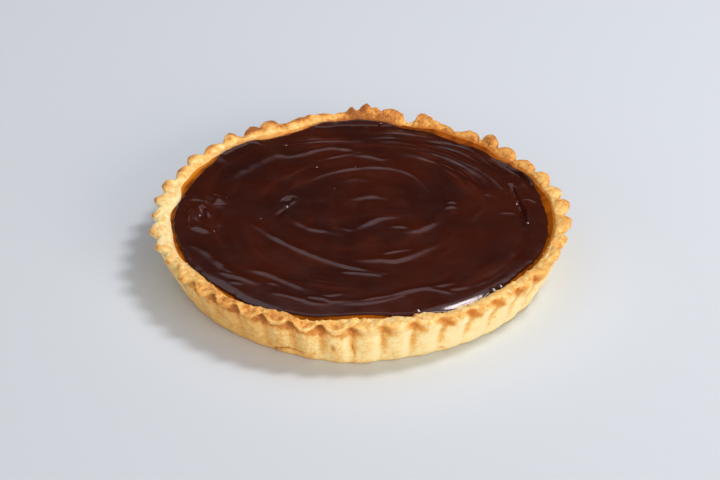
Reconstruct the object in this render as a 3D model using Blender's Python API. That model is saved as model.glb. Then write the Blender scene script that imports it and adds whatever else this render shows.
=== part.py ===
# Salted caramel chocolate tart, 20 cm across: a fluted shortcrust shell, a layer of soft
# caramel and swirled chocolate ganache. Metres, +Z up, origin at the centre of the flat base.
# Angles are degrees from +X, seen from above and counted anticlockwise.

import math
import random

import bpy

MM = 0.001

# Shell
RIM_RADIUS = 100 * MM            # to the tips of the flutes, a 20 cm fluted tart tin
BASE_RADIUS = 90.2 * MM
RIM_HEIGHT = 24.6 * MM
WALL_TOP = 19.8 * MM             # where the plain wall ends and the rounded rim begins
LOWEST_CREST = 22.6 * MM         # the rim's height where a piece has broken out
FLUTES = 44
FIRST_FLUTE = 1.5                # angle of the first lobe
RIM_FLUTE_DEPTH = 3.6 * MM
RIM_SET_BACK = 1.1               # of that depth, how far back the wall starts from the tips
LOBE_ROUNDNESS = 1.05            # power of the lobes' curve, less where they are knuckles
KNUCKLE_ROUNDNESS = 0.35
RIB_ROUNDNESS = 2                # and of the wall's ribs
KNUCKLE_CREASE = 0.32            # how deep the creases cut the rim's height on the knuckled side
BASE_FLUTE_DEPTH = 0.8 * MM
SHELL_FLOOR = 4.0 * MM
FILLING_RADIUS = 90.9 * MM       # inside the shell, where the filling's surface meets it
FLOOR_RADIUS = 85.0 * MM
FLOOR_CORNER = 0.8 * MM          # rounding where the wall meets the floor inside
BASE_BEVEL = 0.9 * MM
COLUMNS_PER_FLUTE = 8
# Wall rows: height, and how far the wall bellies out there
WALL_ROWS = (
    (7.5 * MM, 0.5 * MM),
    (14.5 * MM, 0.6 * MM),
    (WALL_TOP, 0.1 * MM),
)
# Rim rows from outside in: radius between the lobes, how far the lobes stand out, height as a
# share of the rim's rise, and how much hanging lobes droop
RIM_ROWS = (
    (96.5 * MM, 3.5 * MM, 0.60, 0.36),
    (96.4 * MM, 3.2 * MM, 0.88, 0.32),
    (95.6 * MM, 1.7 * MM, 1.00, 0.22),
)
# Rows inside the rim: how far outside the filling's radius, share of the rise, and the radius
# lost and height gained where the top is pressed flat
INNER_ROWS = (
    (3.1 * MM, 0.86, 1.6 * MM, 0.10),
    (1.3 * MM, 0.55, 1.0 * MM, 0.25),
    (0.0, 0.16, 0, 0),
)

# Filling
FIT_GAP = 0.35 * MM              # clearance between the pieces
SIDE_GAP = 0.5 * MM              # the same on the shell's slanted inner face
CARAMEL_TOP = 15.0 * MM          # under the ganache
GANACHE_RADIUS = 89.5 * MM
GANACHE_EDGE = 22.6 * MM         # height of the ganache's edge
GANACHE_MIDDLE = 22.9 * MM
EDGE_THICKNESS = 1.4 * MM
EDGE_SHARE = 0.6                 # how far down that thickness the edge stands out most
UNDER_STEP = 0.1 * MM            # how far the underside rises to the edge
EDGE_STRAY = 0.4                 # how much of the crest's straying the edge follows
LIP_ABOVE = 0.3 * MM             # how far the caramel follows the ganache up the crust
CLIMB = 1.4 * MM                 # how far the caramel climbs the crust
FULL_BAND = 1.2 * MM             # width of the caramel's band at which it climbs so far
SLOPE = 13 * MM                  # how far inside the ganache's edge the caramel begins to rise
SHOULDER = 4 * MM                # and where it has risen under the ganache's thin edge
TUCK = 0.8 * MM                  # how far the ganache's rounded edge overhangs its underside
EDGE_ROUND = 1.1 * MM
BREAK_CLEARANCE = 12             # degrees each side of the break where the caramel stays low
GANACHE_COLUMNS = 88
GANACHE_RINGS = 14
FIRST_RING = 0.965               # the outermost ring's share of the ganache's radius
LAST_RING = 13.6                 # on which ring's place the middle would be
SHARP_EDGE = 50                  # degrees between faces that are shaded as an edge

# Uneven places of the whole wall: angle, half width in degrees, outward, upward
WALL_PLACES = (
    (16, 10, -1.2 * MM, 0),
    (38, 27, -2.4 * MM, -0.4 * MM),       # slumped side at the right and back
    (58, 11, -1.6 * MM, -0.8 * MM),
    (86, 11, 0.3 * MM, 2.3 * MM),         # pinched high at the back
    (109, 10, -0.6 * MM, -1.2 * MM),
    (157, 8, -1.4 * MM, 0),
    (196, 15, 0.6 * MM, 0.2 * MM),
)
# Uneven places of the rim alone. At the break a piece of the rim is missing
BREAK = 74.8
CREST_PLACES = (
    (BREAK, 2.2, -1.8 * MM, -40.0 * MM),  # broken-out notch
    (73.8, 2.6, -0.6 * MM, -1.0 * MM),
    (5, 3.5, 0.8 * MM, 0.3 * MM),
    (24, 2.2, -0.9 * MM, -0.6 * MM),
    (34.5, 3.0, -0.5 * MM, -0.5 * MM),
    (49.9, 1.6, -0.5 * MM, -1.6 * MM),
    (57, 2.5, -0.5 * MM, -1.0 * MM),
    (67, 2.6, 0.5 * MM, 1.8 * MM),
    (84.6, 2.6, 0.2 * MM, 1.5 * MM),
    (88.6, 2.2, 0.2 * MM, 3.0 * MM),      # pointed tip
    (90.6, 1.6, 0, 1.5 * MM),
    (92.6, 2.2, 0, 4.5 * MM),             # smaller tip beside it
    (98.2, 2.2, 0, 1.2 * MM),
    (105.0, 3.0, 0, 2.6 * MM),
    (115.6, 2.5, 0, -1.4 * MM),
    (129.6, 2.6, -0.8 * MM, -1.8 * MM),
    (154.5, 2.0, 0.8 * MM, 0.6 * MM),
    (163.3, 1.6, 0.9 * MM, 0.8 * MM),
    (186.8, 1.8, 0.9 * MM, 0.4 * MM),
    (357, 3.0, 0.9 * MM, 0),
)
# Where the wall is thicker or thinner inside: angle, half width in degrees, outward
THICK_PLACES = (
    (0, 34, -0.6 * MM),
    (117, 15, -3.8 * MM),
    (155, 7, 1.0 * MM),
    (170, 10, -2.2 * MM),
    (188, 34, -0.8 * MM),
    (190, 12, -0.7 * MM),
    (215, 12, -1.2 * MM),
    (235, 15, 2.4 * MM),
    (254.5, 9, 3.0 * MM),
    (271, 8, -0.8 * MM),
    (282, 13, -1.2 * MM),
    (295, 5, 1.3 * MM),
)
# Where the rim's lobes bulge inwards too
INNER_BULGES = (
    (284, 13, 1.2 * MM),
)
# How the base's edge strays
BASE_PLACES = (
    (262, 24, 1.6 * MM, 0),               # bulge at the front of the base edge
    (268, 10, 0.8 * MM, 0),
)
# Where the lobes have drifted round: angle, half width, drift, all in degrees
LOBE_DRIFT = (
    (2, 12, 1.4),
    (46.5, 6, -1.0),
    (50, 75, 4.5),
    (75.1, 7, 1.5),
    (88, 18, 2.0),
    (117, 9, 3.0),
)
# How the lobes differ round the tart: angle, half width in degrees, strength
KNUCKLES = (                              # round and parted by creases
    (350, 50, 0.7),
    (40, 50, 1.0),
    (88, 20, 0.6),
)
FLAT_TOPS = (                             # pressed flat on top
    (248, 40, 0.9),
    (280, 40, 0.6),
    (318, 30, 0.5),
)
HANGING = (                               # hanging over the wall
    (235, 42, 1.0),
    (263, 20, 0.75),
)
POINTED = (                               # teeth with tips
    (178, 34, 0.9),
)
BEADS = (                                 # set close, and standing out less
    (306, 42, 1.0),
)
SHARP_FLUTES = (                          # wall ribs that meet in sharp valleys
    (303, 60, 1.0),
)
FAINT_FLUTES = (                          # wall ribs that the dough has filled
    (226, 42, 0.7),
)
SMOOTH_INSIDE = (                         # teeth at the outer edge alone, smooth inside
    (145, 65, 0.8),
)
WAVE_POWER = 2.6                          # how square the waves of the hanging rim are
BEAD_CLOSENESS = 0.45                     # how much less the beads stand out than other lobes
BEAD_FILL = 0.5 * MM                      # how far the notches between them are filled
BEAD_FILL_UNDER = 1.6 * MM                # and the valleys of the wall close up under them
LOBE_LIFTS = (                            # height that lobes gain over the notches
    (95, 95, 1.0 * MM),
)
# Lobes that differ from their neighbours: number, outward, upward
ODD_LOBES = (
    (0, 0.4 * MM, 0.2 * MM),
    (2, 0.5 * MM, 0.4 * MM),
    (5, 0.8 * MM, 3.0 * MM),              # tall knuckle on the slumped side
    (6, 0.2 * MM, 0.8 * MM),
    (7, -1.2 * MM, -1.4 * MM),
    (8, 0.6 * MM, 0.6 * MM),              # beside the break
    (11, -0.3 * MM, -0.8 * MM),
    (13, 0, 0.8 * MM),
    (14, 0.2 * MM, 0.4 * MM),
    (16, 0.8 * MM, 1.0 * MM),
    (18, 0.6 * MM, 0.4 * MM),
    (20, 1.2 * MM, 0),
    (21, 1.2 * MM, 0),
    (23, 1.0 * MM, 0),
)
# How the ganache's edge strays: angle, half width in degrees, outward, upward. Where it falls
# short of the crust, the caramel shows. Elsewhere it has run up the crust
GANACHE_PLACES = (
    (8, 12, -0.4 * MM, 0),
    (23, 7, 1.6 * MM, 1.0 * MM),
    (40, 12, -2.6 * MM, 0),
    (57, 15, -3.0 * MM, 0),
    (73, 9, -1.6 * MM, 0),
    (83, 7, 1.0 * MM, 1.8 * MM),
    (91, 9, 1.6 * MM, 2.6 * MM),
    (101, 9, 1.6 * MM, 2.4 * MM),
    (117, 11, -2.6 * MM, 0),
    (130, 7, 1.6 * MM, 1.4 * MM),
    (138, 9, 1.6 * MM, 1.6 * MM),
    (162, 18, -1.2 * MM, 0),
    (211, 14, 0.9 * MM, 0),
    (239, 12, 1.6 * MM, 0),
    (271, 21, -4.6 * MM, 0),
    (292, 8, 0.6 * MM, 0.3 * MM),
    (302, 10, 2.0 * MM, 0),
    (315, 8, 0.8 * MM, 0),
    (326, 7, -1.0 * MM, 0),
)
# Where the ganache's edge runs out thin: angle, half width in degrees, thickness lost
THIN_EDGES = (
    (264, 26, 0.7 * MM),
)
# How the ganache's edge rolls over: angle, width of the roll and drop across it in mm
ROLLED_EDGE = (
    (200, 2.0, 0.0),
    (209, 2.4, 0.8),
    (217, 1.6, 0.3),
    (224, 3.0, 1.0),
    (238, 2.4, 0.8),
    (247, 1.6, 0.0),
    (284, 1.8, 0.0),
    (289, 3.0, 1.5),
    (293, 3.2, 2.0),
    (297, 3.2, 2.35),
    (302, 3.0, 2.4),
    (307, 2.4, 2.0),
    (311, 2.0, 1.6),
    (316, 1.8, 1.0),
    (322, 1.5, 0.3),
    (345, 1.5, 0.0),
)
ROLL_POWER = 1.2
ROLLED_UNDER = 0.6               # how much of that drop its underside takes part in

# Swirls left by the spatula, each a bent stroke: start, bend and end in mm from the middle,
# then width and height in mm
SWIRLS = (
    ((-53, -8), (-22, -44), (9, -52), 3.6, 0.7),
    ((-34, -2), (-24, -17), (-10, -18), 3.6, 0.6),
    ((22, -16), (35, -12), (39, 1), 4.0, 0.7),
    ((-6, 13), (4, 19), (14, 14), 3.8, 0.6),
    ((-27, 30), (11, 63), (33, 22), 3.4, 0.6),
    ((0, -41), (22, -44), (36, -27), 3.6, 0.6),
    ((-64, 35), (-54, 51), (-37, 59), 4.6, 0.8),
    ((-42, 57), (-12, 69), (9, 57), 3.8, 0.6),
    ((-40, 70), (-21, 75), (2, 72), 3.2, 0.5),
    ((10, 71), (60, 54), (71, 20), 3.4, 0.7),
    ((24, 73), (59, 71), (66, 45), 3.2, 0.6),
    ((73, 27), (78, 9), (77, -10), 2.4, -1.6),
    ((77, -8), (74, -37), (58, -58), 3.6, -0.5),
    ((-80, -27), (-68, -42), (-48, -60), 3.8, 0.7),
    ((-51, -49), (-38, -55), (-25, -65), 3.4, 0.6),
    ((-12, -75), (13, -72), (42, -60), 3.4, 0.6),
    ((-37, 12), (-38, 4), (-41, -6), 3.4, -0.7),
    ((-76, 9), (-77, 2), (-75, -6), 2.8, -0.9),
)
STROKE_STEPS = 12
STROKE_END = 0.06                # how far along a sine curve a stroke's height begins and ends
STROKE_FULLNESS = 0.6            # power of that curve, less being fuller
LEVEL_REACH = 14 * MM            # how far in from its edge the ganache levels out
CLIMB_SLOPE = 0.5                # how steeply it climbs the crust where its edge is high
CLIMB_POWER = 1.1
SWIRL_REACH = 3 * MM             # and how far in the swirls reach their full height
RING_GROOVE = 62 * MM            # a broad shallow groove left by turning the tart
RING_GROOVE_DEPTH = 0.35 * MM
RING_GROOVE_WIDTH = 9 * MM

PASTRY = (0.72, 0.42, 0.16, 1.0)
CARAMEL = (0.42, 0.13, 0.015, 1.0)
GANACHE = (0.030, 0.009, 0.006, 1.0)


def clear_scene():
    for thing in list(bpy.data.objects):
        bpy.data.objects.remove(thing, do_unlink=True)


def material(name, colour, roughness):
    made = bpy.data.materials.new(name)
    made.use_nodes = True
    shader = made.node_tree.nodes["Principled BSDF"]
    shader.inputs["Base Color"].default_value = colour
    shader.inputs["Roughness"].default_value = roughness
    shader.inputs["Metallic"].default_value = 0.0
    return made


def hump(angle, centre, half_width):
    """Smooth hump round the tart, 1 at its centre and 0 beyond its half width"""
    away = abs((angle - centre + 180) % 360 - 180) / half_width
    if away >= 1:
        return 0.0
    return math.cos(away * math.pi / 2) ** 2


def humps(angle, places, column=2):
    return sum(place[column] * hump(angle, place[0], place[1]) for place in places)


def smooth(t):
    t = min(1.0, max(0.0, t))
    return t * t * (3 - 2 * t)


def uneven_line(seed, waves, size):
    """A line round the tart that strays by about size, made of a few seeded waves"""
    chance = random.Random(seed)
    terms = [(wave, chance.uniform(0, 2 * math.pi), chance.uniform(0.5, 1)) for wave in waves]
    total = sum(weight for _, _, weight in terms)

    def line(angle):
        turn = math.radians(angle)
        return size * sum(weight * math.sin(wave * turn + start) for wave, start, weight in terms) / total

    return line


rim_stray = uneven_line(3, (2, 3, 5, 9), 0.5 * MM)
crest_stray = uneven_line(5, (3, 7, 11, 19), 0.5 * MM)
wall_stray = uneven_line(7, (4, 9, 15), 0.4 * MM)


def lobe_sizes():
    """How strongly each lobe is pressed, and how far more it stands out and up"""
    chance = random.Random(11)
    sizes = [[chance.uniform(0.82, 1.1), 0, chance.uniform(-0.4, 0.5) * MM] for _ in range(FLUTES)]
    for number, out, up in ODD_LOBES:
        sizes[number][1:] = out, up
    return sizes


LOBES = lobe_sizes()


def lobe_angle(flute):
    angle = FIRST_FLUTE + flute * 360 / FLUTES
    return angle + humps(angle, LOBE_DRIFT)


def shell_section(flute):
    """Angle of one place round the shell, with the radius and height of its skin there, in rows
    from the base edge up the wall, over the rim and down to the floor inside"""
    angle = lobe_angle(flute)
    lobe = round(flute)
    across = (flute - lobe) * math.pi
    size, stand, lift = LOBES[lobe % FLUTES]
    knuckle = humps(angle, KNUCKLES)
    flat = humps(angle, FLAT_TOPS)
    hanging = humps(angle, HANGING)
    pointed = humps(angle, POINTED)
    bead = humps(angle, BEADS)
    swell = max(0.0, math.cos(across)) ** (LOBE_ROUNDNESS - KNUCKLE_ROUNDNESS * knuckle)
    wave = 1 - abs(math.sin(across)) ** WAVE_POWER
    swell += (wave - swell) * max(hanging, bead)
    tooth = 1 - abs(across) * 2 / math.pi
    rim_lobe = size * (swell + (tooth - swell) * pointed)
    wall_lobe = size * max(0.0, math.cos(across)) ** (RIB_ROUNDNESS - humps(angle, SHARP_FLUTES))
    wall_lobe += (0.5 - wall_lobe) * humps(angle, FAINT_FLUTES)
    out = humps(angle, WALL_PLACES) + rim_stray(angle)
    up = humps(angle, WALL_PLACES, 3) + crest_stray(angle)
    nib = humps(angle, CREST_PLACES)
    inner_rise = RIM_HEIGHT + up - WALL_TOP
    rise = inner_rise + humps(angle, CREST_PLACES, 3) + (lift + humps(angle, LOBE_LIFTS)) * rim_lobe
    rise = max(LOWEST_CREST - WALL_TOP, rise)
    inner_rise = min(inner_rise, rise)
    base = BASE_RADIUS - BASE_FLUTE_DEPTH * (1 - wall_lobe) + humps(angle, BASE_PLACES)
    top = RIM_RADIUS - RIM_FLUTE_DEPTH * (RIM_SET_BACK - wall_lobe) + out
    inner = FILLING_RADIUS + humps(angle, THICK_PLACES) + wall_stray(angle) + out
    inner -= humps(angle, INNER_BULGES) * (2 * rim_lobe - 1)
    inside = 1 - humps(angle, SMOOTH_INSIDE)
    crease = 1 - KNUCKLE_CREASE * knuckle * (1 - rim_lobe)
    rows = [(base - BASE_BEVEL, 0.0), (base, BASE_BEVEL)]
    for height, belly in WALL_ROWS:
        filled = BEAD_FILL_UNDER * bead * (1 - wall_lobe) if height == WALL_TOP else 0
        rows.append((base + (top - base) * height / RIM_HEIGHT + belly + filled, height))
    for radius, spread, share, droop in RIM_ROWS:
        height = WALL_TOP + (share * crease - droop * hanging * rim_lobe) * rise
        spread *= inside if share == 1 else 1
        stand_out = (spread * (1 - BEAD_CLOSENESS * bead) + stand) * rim_lobe
        rows.append((radius + BEAD_FILL * bead + stand_out + out + nib, height))
    for outside, share, shrink, gain in INNER_ROWS:
        rows.append((inner + outside - shrink * flat, WALL_TOP + (share + gain * flat) * inner_rise))
    rows.append((FLOOR_RADIUS + FLOOR_CORNER, SHELL_FLOOR + FLOOR_CORNER))
    rows.append((FLOOR_RADIUS, SHELL_FLOOR))
    return angle, rows


def inner_radius(rows, height):
    """Radius of the shell's inner face at a height above the floor, at one place round it"""
    face = rows[-5:-1]
    for upper, lower in zip(face, face[1:]):
        if height >= lower[1]:
            share = (height - lower[1]) / (upper[1] - lower[1])
            return lower[0] + (upper[0] - lower[0]) * min(1.0, share)
    return face[-1][0]


def least_radius(sections, height):
    """The same for a few neighbouring places, where it is least"""
    return min(inner_radius(rows, height) for rows in sections)


def flute_at(angle):
    """The flute number at an angle, undoing the lobes' drift"""
    flute = (angle - FIRST_FLUTE) * FLUTES / 360
    for _ in range(6):
        flute -= (lobe_angle(flute) - angle) * FLUTES / 360
    return flute


def point(angle, radius, height):
    turn = math.radians(angle)
    return (radius * math.cos(turn), radius * math.sin(turn), height)


def stroke_line(start, bend, end):
    """Points along a bent stroke, with how strong it is there"""
    line = []
    for step in range(STROKE_STEPS + 1):
        t = step / STROKE_STEPS
        x = (1 - t) ** 2 * start[0] + 2 * t * (1 - t) * bend[0] + t * t * end[0]
        y = (1 - t) ** 2 * start[1] + 2 * t * (1 - t) * bend[1] + t * t * end[1]
        strength = math.sin(math.pi * (STROKE_END + (1 - 2 * STROKE_END) * t)) ** STROKE_FULLNESS
        line.append((x * MM, y * MM, strength))
    return line


STROKES = [(stroke_line(*swirl[:3]), swirl[3] * MM, swirl[4] * MM) for swirl in SWIRLS]


def swirl_height(x, y):
    """Height that the spatula's swirls add at a place on the ganache"""
    height = 0.0
    for line, width, rise in STROKES:
        nearest = min((math.hypot(x - px, y - py), strength) for px, py, strength in line)
        height += rise * nearest[1] * math.exp(-(nearest[0] / width) ** 2)
    ring = (math.hypot(x, y) - RING_GROOVE) / RING_GROOVE_WIDTH
    return height - RING_GROOVE_DEPTH * math.exp(-ring * ring)


def rolled_edge(angle):
    """Width of the ganache's rolled edge at an angle, and its drop there"""
    before = ROLLED_EDGE[0]
    for after in ROLLED_EDGE:
        if angle < after[0]:
            share = max(0.0, (angle - before[0]) / max(1, after[0] - before[0]))
            return [(low + (high - low) * share) * MM for low, high in zip(before[1:], after[1:])]
        before = after
    return [size * MM for size in before[1:]]


def filling_section(angle):
    """Sizes of the filling at one place round it: the ganache's edge radius, its edge height,
    the height of its thin edge's underside, the width of the caramel band beside it and the
    shell's sections there"""
    step = 180 / GANACHE_COLUMNS
    sections = [shell_section(flute_at(angle + aside))[1] for aside in (-step, 0, step)]
    edge_height = GANACHE_EDGE + humps(angle, GANACHE_PLACES, 3) + EDGE_STRAY * crest_stray(angle)
    lip = min(edge_height, GANACHE_EDGE + LIP_ABOVE) - EDGE_THICKNESS + humps(angle, THIN_EDGES)
    lip -= ROLLED_UNDER * rolled_edge(angle)[1]
    touch = least_radius(sections, min(lip, edge_height - EDGE_THICKNESS)) - FIT_GAP
    edge = min(touch, GANACHE_RADIUS + humps(angle, GANACHE_PLACES) + wall_stray(angle))
    return edge, edge_height, lip, touch - edge, sections


def closed_body(name, rings, finish, top=None):
    """A closed body through rings of points that all run anticlockwise. The first ring is capped
    below, and the last above, by a flat face or by a fan to the point given as top"""
    count = len(rings[0])
    points = [place for ring in rings for place in ring]
    faces = [list(reversed(range(count)))]
    for row in range(len(rings) - 1):
        low, high = row * count, (row + 1) * count
        for column in range(count):
            after = (column + 1) % count
            faces.append([low + column, low + after, high + after, high + column])
    last = (len(rings) - 1) * count
    if top is None:
        faces.append(list(range(last, last + count)))
    else:
        points.append(top)
        faces += [[last + column, last + (column + 1) % count, len(points) - 1] for column in range(count)]
    mesh = bpy.data.meshes.new(name)
    mesh.from_pydata(points, [], faces)
    mesh.materials.append(finish)
    mesh.shade_smooth()
    mesh.set_sharp_from_angle(angle=math.radians(SHARP_EDGE))
    body = bpy.data.objects.new(name, mesh)
    bpy.context.collection.objects.link(body)
    return body


def build_crust():
    """Shortcrust shell pressed into a fluted tin, its rim pinched and uneven"""
    columns = [shell_section(step / COLUMNS_PER_FLUTE) for step in range(FLUTES * COLUMNS_PER_FLUTE)]
    row_count = len(columns[0][1])
    rings = [[point(angle, *rows[row]) for angle, rows in columns] for row in range(row_count)]
    return closed_body("crust", rings, material("baked shortcrust", PASTRY, 0.75))


def filling_columns():
    angles = [step * 360 / GANACHE_COLUMNS for step in range(GANACHE_COLUMNS)]
    return [(angle, *filling_section(angle)) for angle in angles]


def build_caramel():
    """Caramel poured over the shell's floor. It climbs to the rim and shows beside the ganache"""
    rings = [[] for _ in range(8)]
    for angle, edge, _, under_ganache, band, sections in filling_columns():
        lip = under_ganache - FIT_GAP
        climb = CLIMB * smooth(band / FULL_BAND) * (1 - hump(angle, BREAK, BREAK_CLEARANCE))
        outer = least_radius(sections, lip + climb) - SIDE_GAP
        bend = min(sections[1][-4][1], lip + climb - UNDER_STEP)
        knee = min(sections[1][-3][1] - FIT_GAP, bend - UNDER_STEP)
        section = [
            (FLOOR_RADIUS - FIT_GAP, SHELL_FLOOR + FIT_GAP),
            (FLOOR_RADIUS + FLOOR_CORNER - SIDE_GAP, SHELL_FLOOR + FLOOR_CORNER + FIT_GAP),
            (least_radius(sections, knee) - SIDE_GAP, knee),
            (least_radius(sections, bend) - SIDE_GAP, bend),
            (outer, lip + climb),
            (min(outer - FIT_GAP, edge - TUCK), lip),
            (edge - SHOULDER, lip - FIT_GAP),
            (edge - SLOPE, CARAMEL_TOP),
        ]
        for ring, place in zip(rings, section):
            ring.append(point(angle, *place))
    return closed_body("caramel", rings, material("salted caramel", CARAMEL, 0.25))


def build_ganache():
    """Chocolate ganache spread over the caramel and swirled with a spatula"""
    under = [[] for _ in range(5)]
    rings = [[] for _ in range(GANACHE_RINGS)]
    for angle, edge, edge_height, lip, _, _ in filling_columns():
        roll_width, roll_drop = rolled_edge(angle)
        climb = edge_height - GANACHE_MIDDLE
        reach = LEVEL_REACH + (climb / CLIMB_SLOPE - LEVEL_REACH) * smooth(climb / MM)

        def surface(inset):
            level = GANACHE_MIDDLE + climb * max(0.0, 1 - inset / reach) ** CLIMB_POWER
            return level - roll_drop * max(0.0, 1 - inset / (roll_width + EDGE_ROUND)) ** ROLL_POWER

        shoulder = surface(EDGE_ROUND)
        widest = shoulder - EDGE_SHARE * min(EDGE_THICKNESS, shoulder - lip)
        section = [
            (edge - SLOPE - SHOULDER / 2, CARAMEL_TOP + FIT_GAP),
            (edge - SHOULDER, lip),
            (edge - TUCK, lip + UNDER_STEP),
            (edge, max(widest, lip + 2 * UNDER_STEP)),
            (edge - EDGE_ROUND, shoulder),
        ]
        for ring, place in zip(under, section):
            ring.append(point(angle, *place))
        for number, ring in enumerate(rings):
            radius = (edge - EDGE_ROUND) * FIRST_RING * (1 - number / LAST_RING)
            x, y, _ = point(angle, radius, 0)
            swirl = swirl_height(x, y) * smooth((edge - radius) / SWIRL_REACH)
            ring.append((x, y, surface(edge - radius) + swirl))
    middle = (0, 0, GANACHE_MIDDLE + swirl_height(0, 0))
    return closed_body("ganache", under + rings, material("chocolate ganache", GANACHE, 0.2), middle)


clear_scene()
build_crust()
build_caramel()
build_ganache()
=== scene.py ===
# Salted caramel chocolate tart: fluted shortcrust shell, poured caramel, swirled ganache.
# Metres, +Z up, origin at the centre of the tart's base. Angles are degrees from +X, seen
# from above and counted anticlockwise, so 270 faces the camera.

import math
import random
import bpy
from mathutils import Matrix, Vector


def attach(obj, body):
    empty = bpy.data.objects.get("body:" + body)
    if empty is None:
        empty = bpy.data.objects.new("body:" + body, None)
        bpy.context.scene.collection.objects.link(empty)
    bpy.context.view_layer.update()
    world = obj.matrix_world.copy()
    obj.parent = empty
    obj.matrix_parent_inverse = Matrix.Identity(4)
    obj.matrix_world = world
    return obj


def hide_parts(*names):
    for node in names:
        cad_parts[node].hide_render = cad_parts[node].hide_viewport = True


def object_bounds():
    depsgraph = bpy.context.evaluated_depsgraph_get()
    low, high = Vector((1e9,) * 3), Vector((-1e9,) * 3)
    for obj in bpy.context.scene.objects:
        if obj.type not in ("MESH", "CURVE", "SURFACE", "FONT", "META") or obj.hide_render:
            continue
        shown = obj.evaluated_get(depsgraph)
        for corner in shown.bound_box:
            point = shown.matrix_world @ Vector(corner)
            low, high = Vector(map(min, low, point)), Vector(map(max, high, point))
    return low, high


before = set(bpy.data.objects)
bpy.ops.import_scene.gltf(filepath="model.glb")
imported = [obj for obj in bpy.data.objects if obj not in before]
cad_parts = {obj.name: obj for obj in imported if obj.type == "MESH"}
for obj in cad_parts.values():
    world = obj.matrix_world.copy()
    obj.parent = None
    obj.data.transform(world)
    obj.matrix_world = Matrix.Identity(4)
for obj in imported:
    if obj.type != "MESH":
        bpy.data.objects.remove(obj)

from types import SimpleNamespace

import bmesh
import bpy
import numpy as np
from mathutils import Vector, noise

cad_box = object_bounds()
MM = 0.001

# Shell, as it was pressed into the tin
RIM_RADIUS = 100 * MM
BASE_RADIUS = 90.2 * MM
RIM_HEIGHT = 24.6 * MM
WALL_TOP = 19.8 * MM             # where the plain wall ends and the rounded rim begins
LOWEST_CREST = 22.6 * MM         # the rim's height where a piece has broken out
FLUTES = 44
FIRST_FLUTE = 1.5
RIM_FLUTE_DEPTH = 3.6 * MM
RIM_SET_BACK = 1.1               # of that depth, how far back the wall starts from the tips
LOBE_ROUNDNESS = 1.05            # power of the lobes' curve, less where they are knuckles
KNUCKLE_ROUNDNESS = 0.35
RIB_ROUNDNESS = 2                # and of the wall's ribs
KNUCKLE_CREASE = 0.32
LOBE_STRENGTH = (0.82, 1.1)      # how firmly lobes are pressed, between these
LOBE_RISE = (-0.4, 0.5)          # and how much higher they are, in mm
BASE_FLUTE_DEPTH = 0.8 * MM
SHELL_FLOOR = 4.0 * MM
FILLING_RADIUS = 90.9 * MM
FLOOR_RADIUS = 85.0 * MM
FLOOR_CORNER = 0.8 * MM
BASE_BEVEL = 0.9 * MM
SHELL_COLUMNS = 24               # for each flute
FLUTE_PITCH = 2 * math.pi * RIM_RADIUS / MM / FLUTES
# Wall rows: height, and how far the wall bellies out there
WALL_ROWS = (
    (7.5 * MM, 0.5 * MM),
    (14.5 * MM, 0.6 * MM),
    (WALL_TOP, 0.1 * MM),
)
# Rim rows from outside in: radius between the lobes, how far the lobes stand out, height as a
# share of the rim's rise, and how much hanging lobes droop
RIM_ROWS = (
    (96.5 * MM, 3.5 * MM, 0.60, 0.36),
    (96.4 * MM, 3.2 * MM, 0.88, 0.32),
    (95.6 * MM, 1.7 * MM, 1.00, 0.22),
)
# Rows inside the rim: how far outside the filling's radius, share of the rise, and the radius
# lost and height gained where the top is pressed flat
INNER_ROWS = (
    (3.1 * MM, 0.86, 1.6 * MM, 0.10),
    (1.3 * MM, 0.55, 1.0 * MM, 0.25),
    (0.0, 0.16, 0, 0),
)
# How many fine rows lie between one of those rows and the next, from the base edge up the
# wall, over the rim and down inside
FINE_ROWS = (3, 12, 12, 10, 8, 6, 6, 7, 7, 7, 4, 1)
# The fine rows at the upper wall, the rim's foot, its outer lip and its crest, then inside at the
# top, middle and foot of the inner face
UPPER_WALL, RIM_FOOT, LIP, CREST, INNER_TOP, INNER_MIDDLE, INNER_FOOT = (
    sum(FINE_ROWS[:number]) for number in (3, 5, 6, 7, 8, 9, 10))

# Filling
CARAMEL_TOP = 15.0 * MM
GANACHE_RADIUS = 89.5 * MM
GANACHE_EDGE = 22.6 * MM
GANACHE_MIDDLE = 22.9 * MM
EDGE_THICKNESS = 1.4 * MM
EDGE_EVENNESS = 240              # the edge runs even over this share of the way round
EDGE_STRAY = 0.4                 # how much of the crest's straying the ganache's edge follows
LIP_ABOVE = 0.3 * MM             # how far the caramel follows the ganache up the crust
CLIMB = 1.4 * MM
FULL_BAND = 1.2 * MM             # width of the caramel's band at which it climbs so far
SLOPE = 13 * MM
SHOULDER = 4 * MM
TUCK = 0.8 * MM
EDGE_ROUND = 1.1 * MM
BREAK_CLEARANCE = 12
LEVEL_REACH = 14 * MM
CLIMB_SLOPE = 0.5                # how steeply the ganache climbs the crust at the back
CLIMB_POWER = 1.1
SWIRL_REACH = 3 * MM

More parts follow.
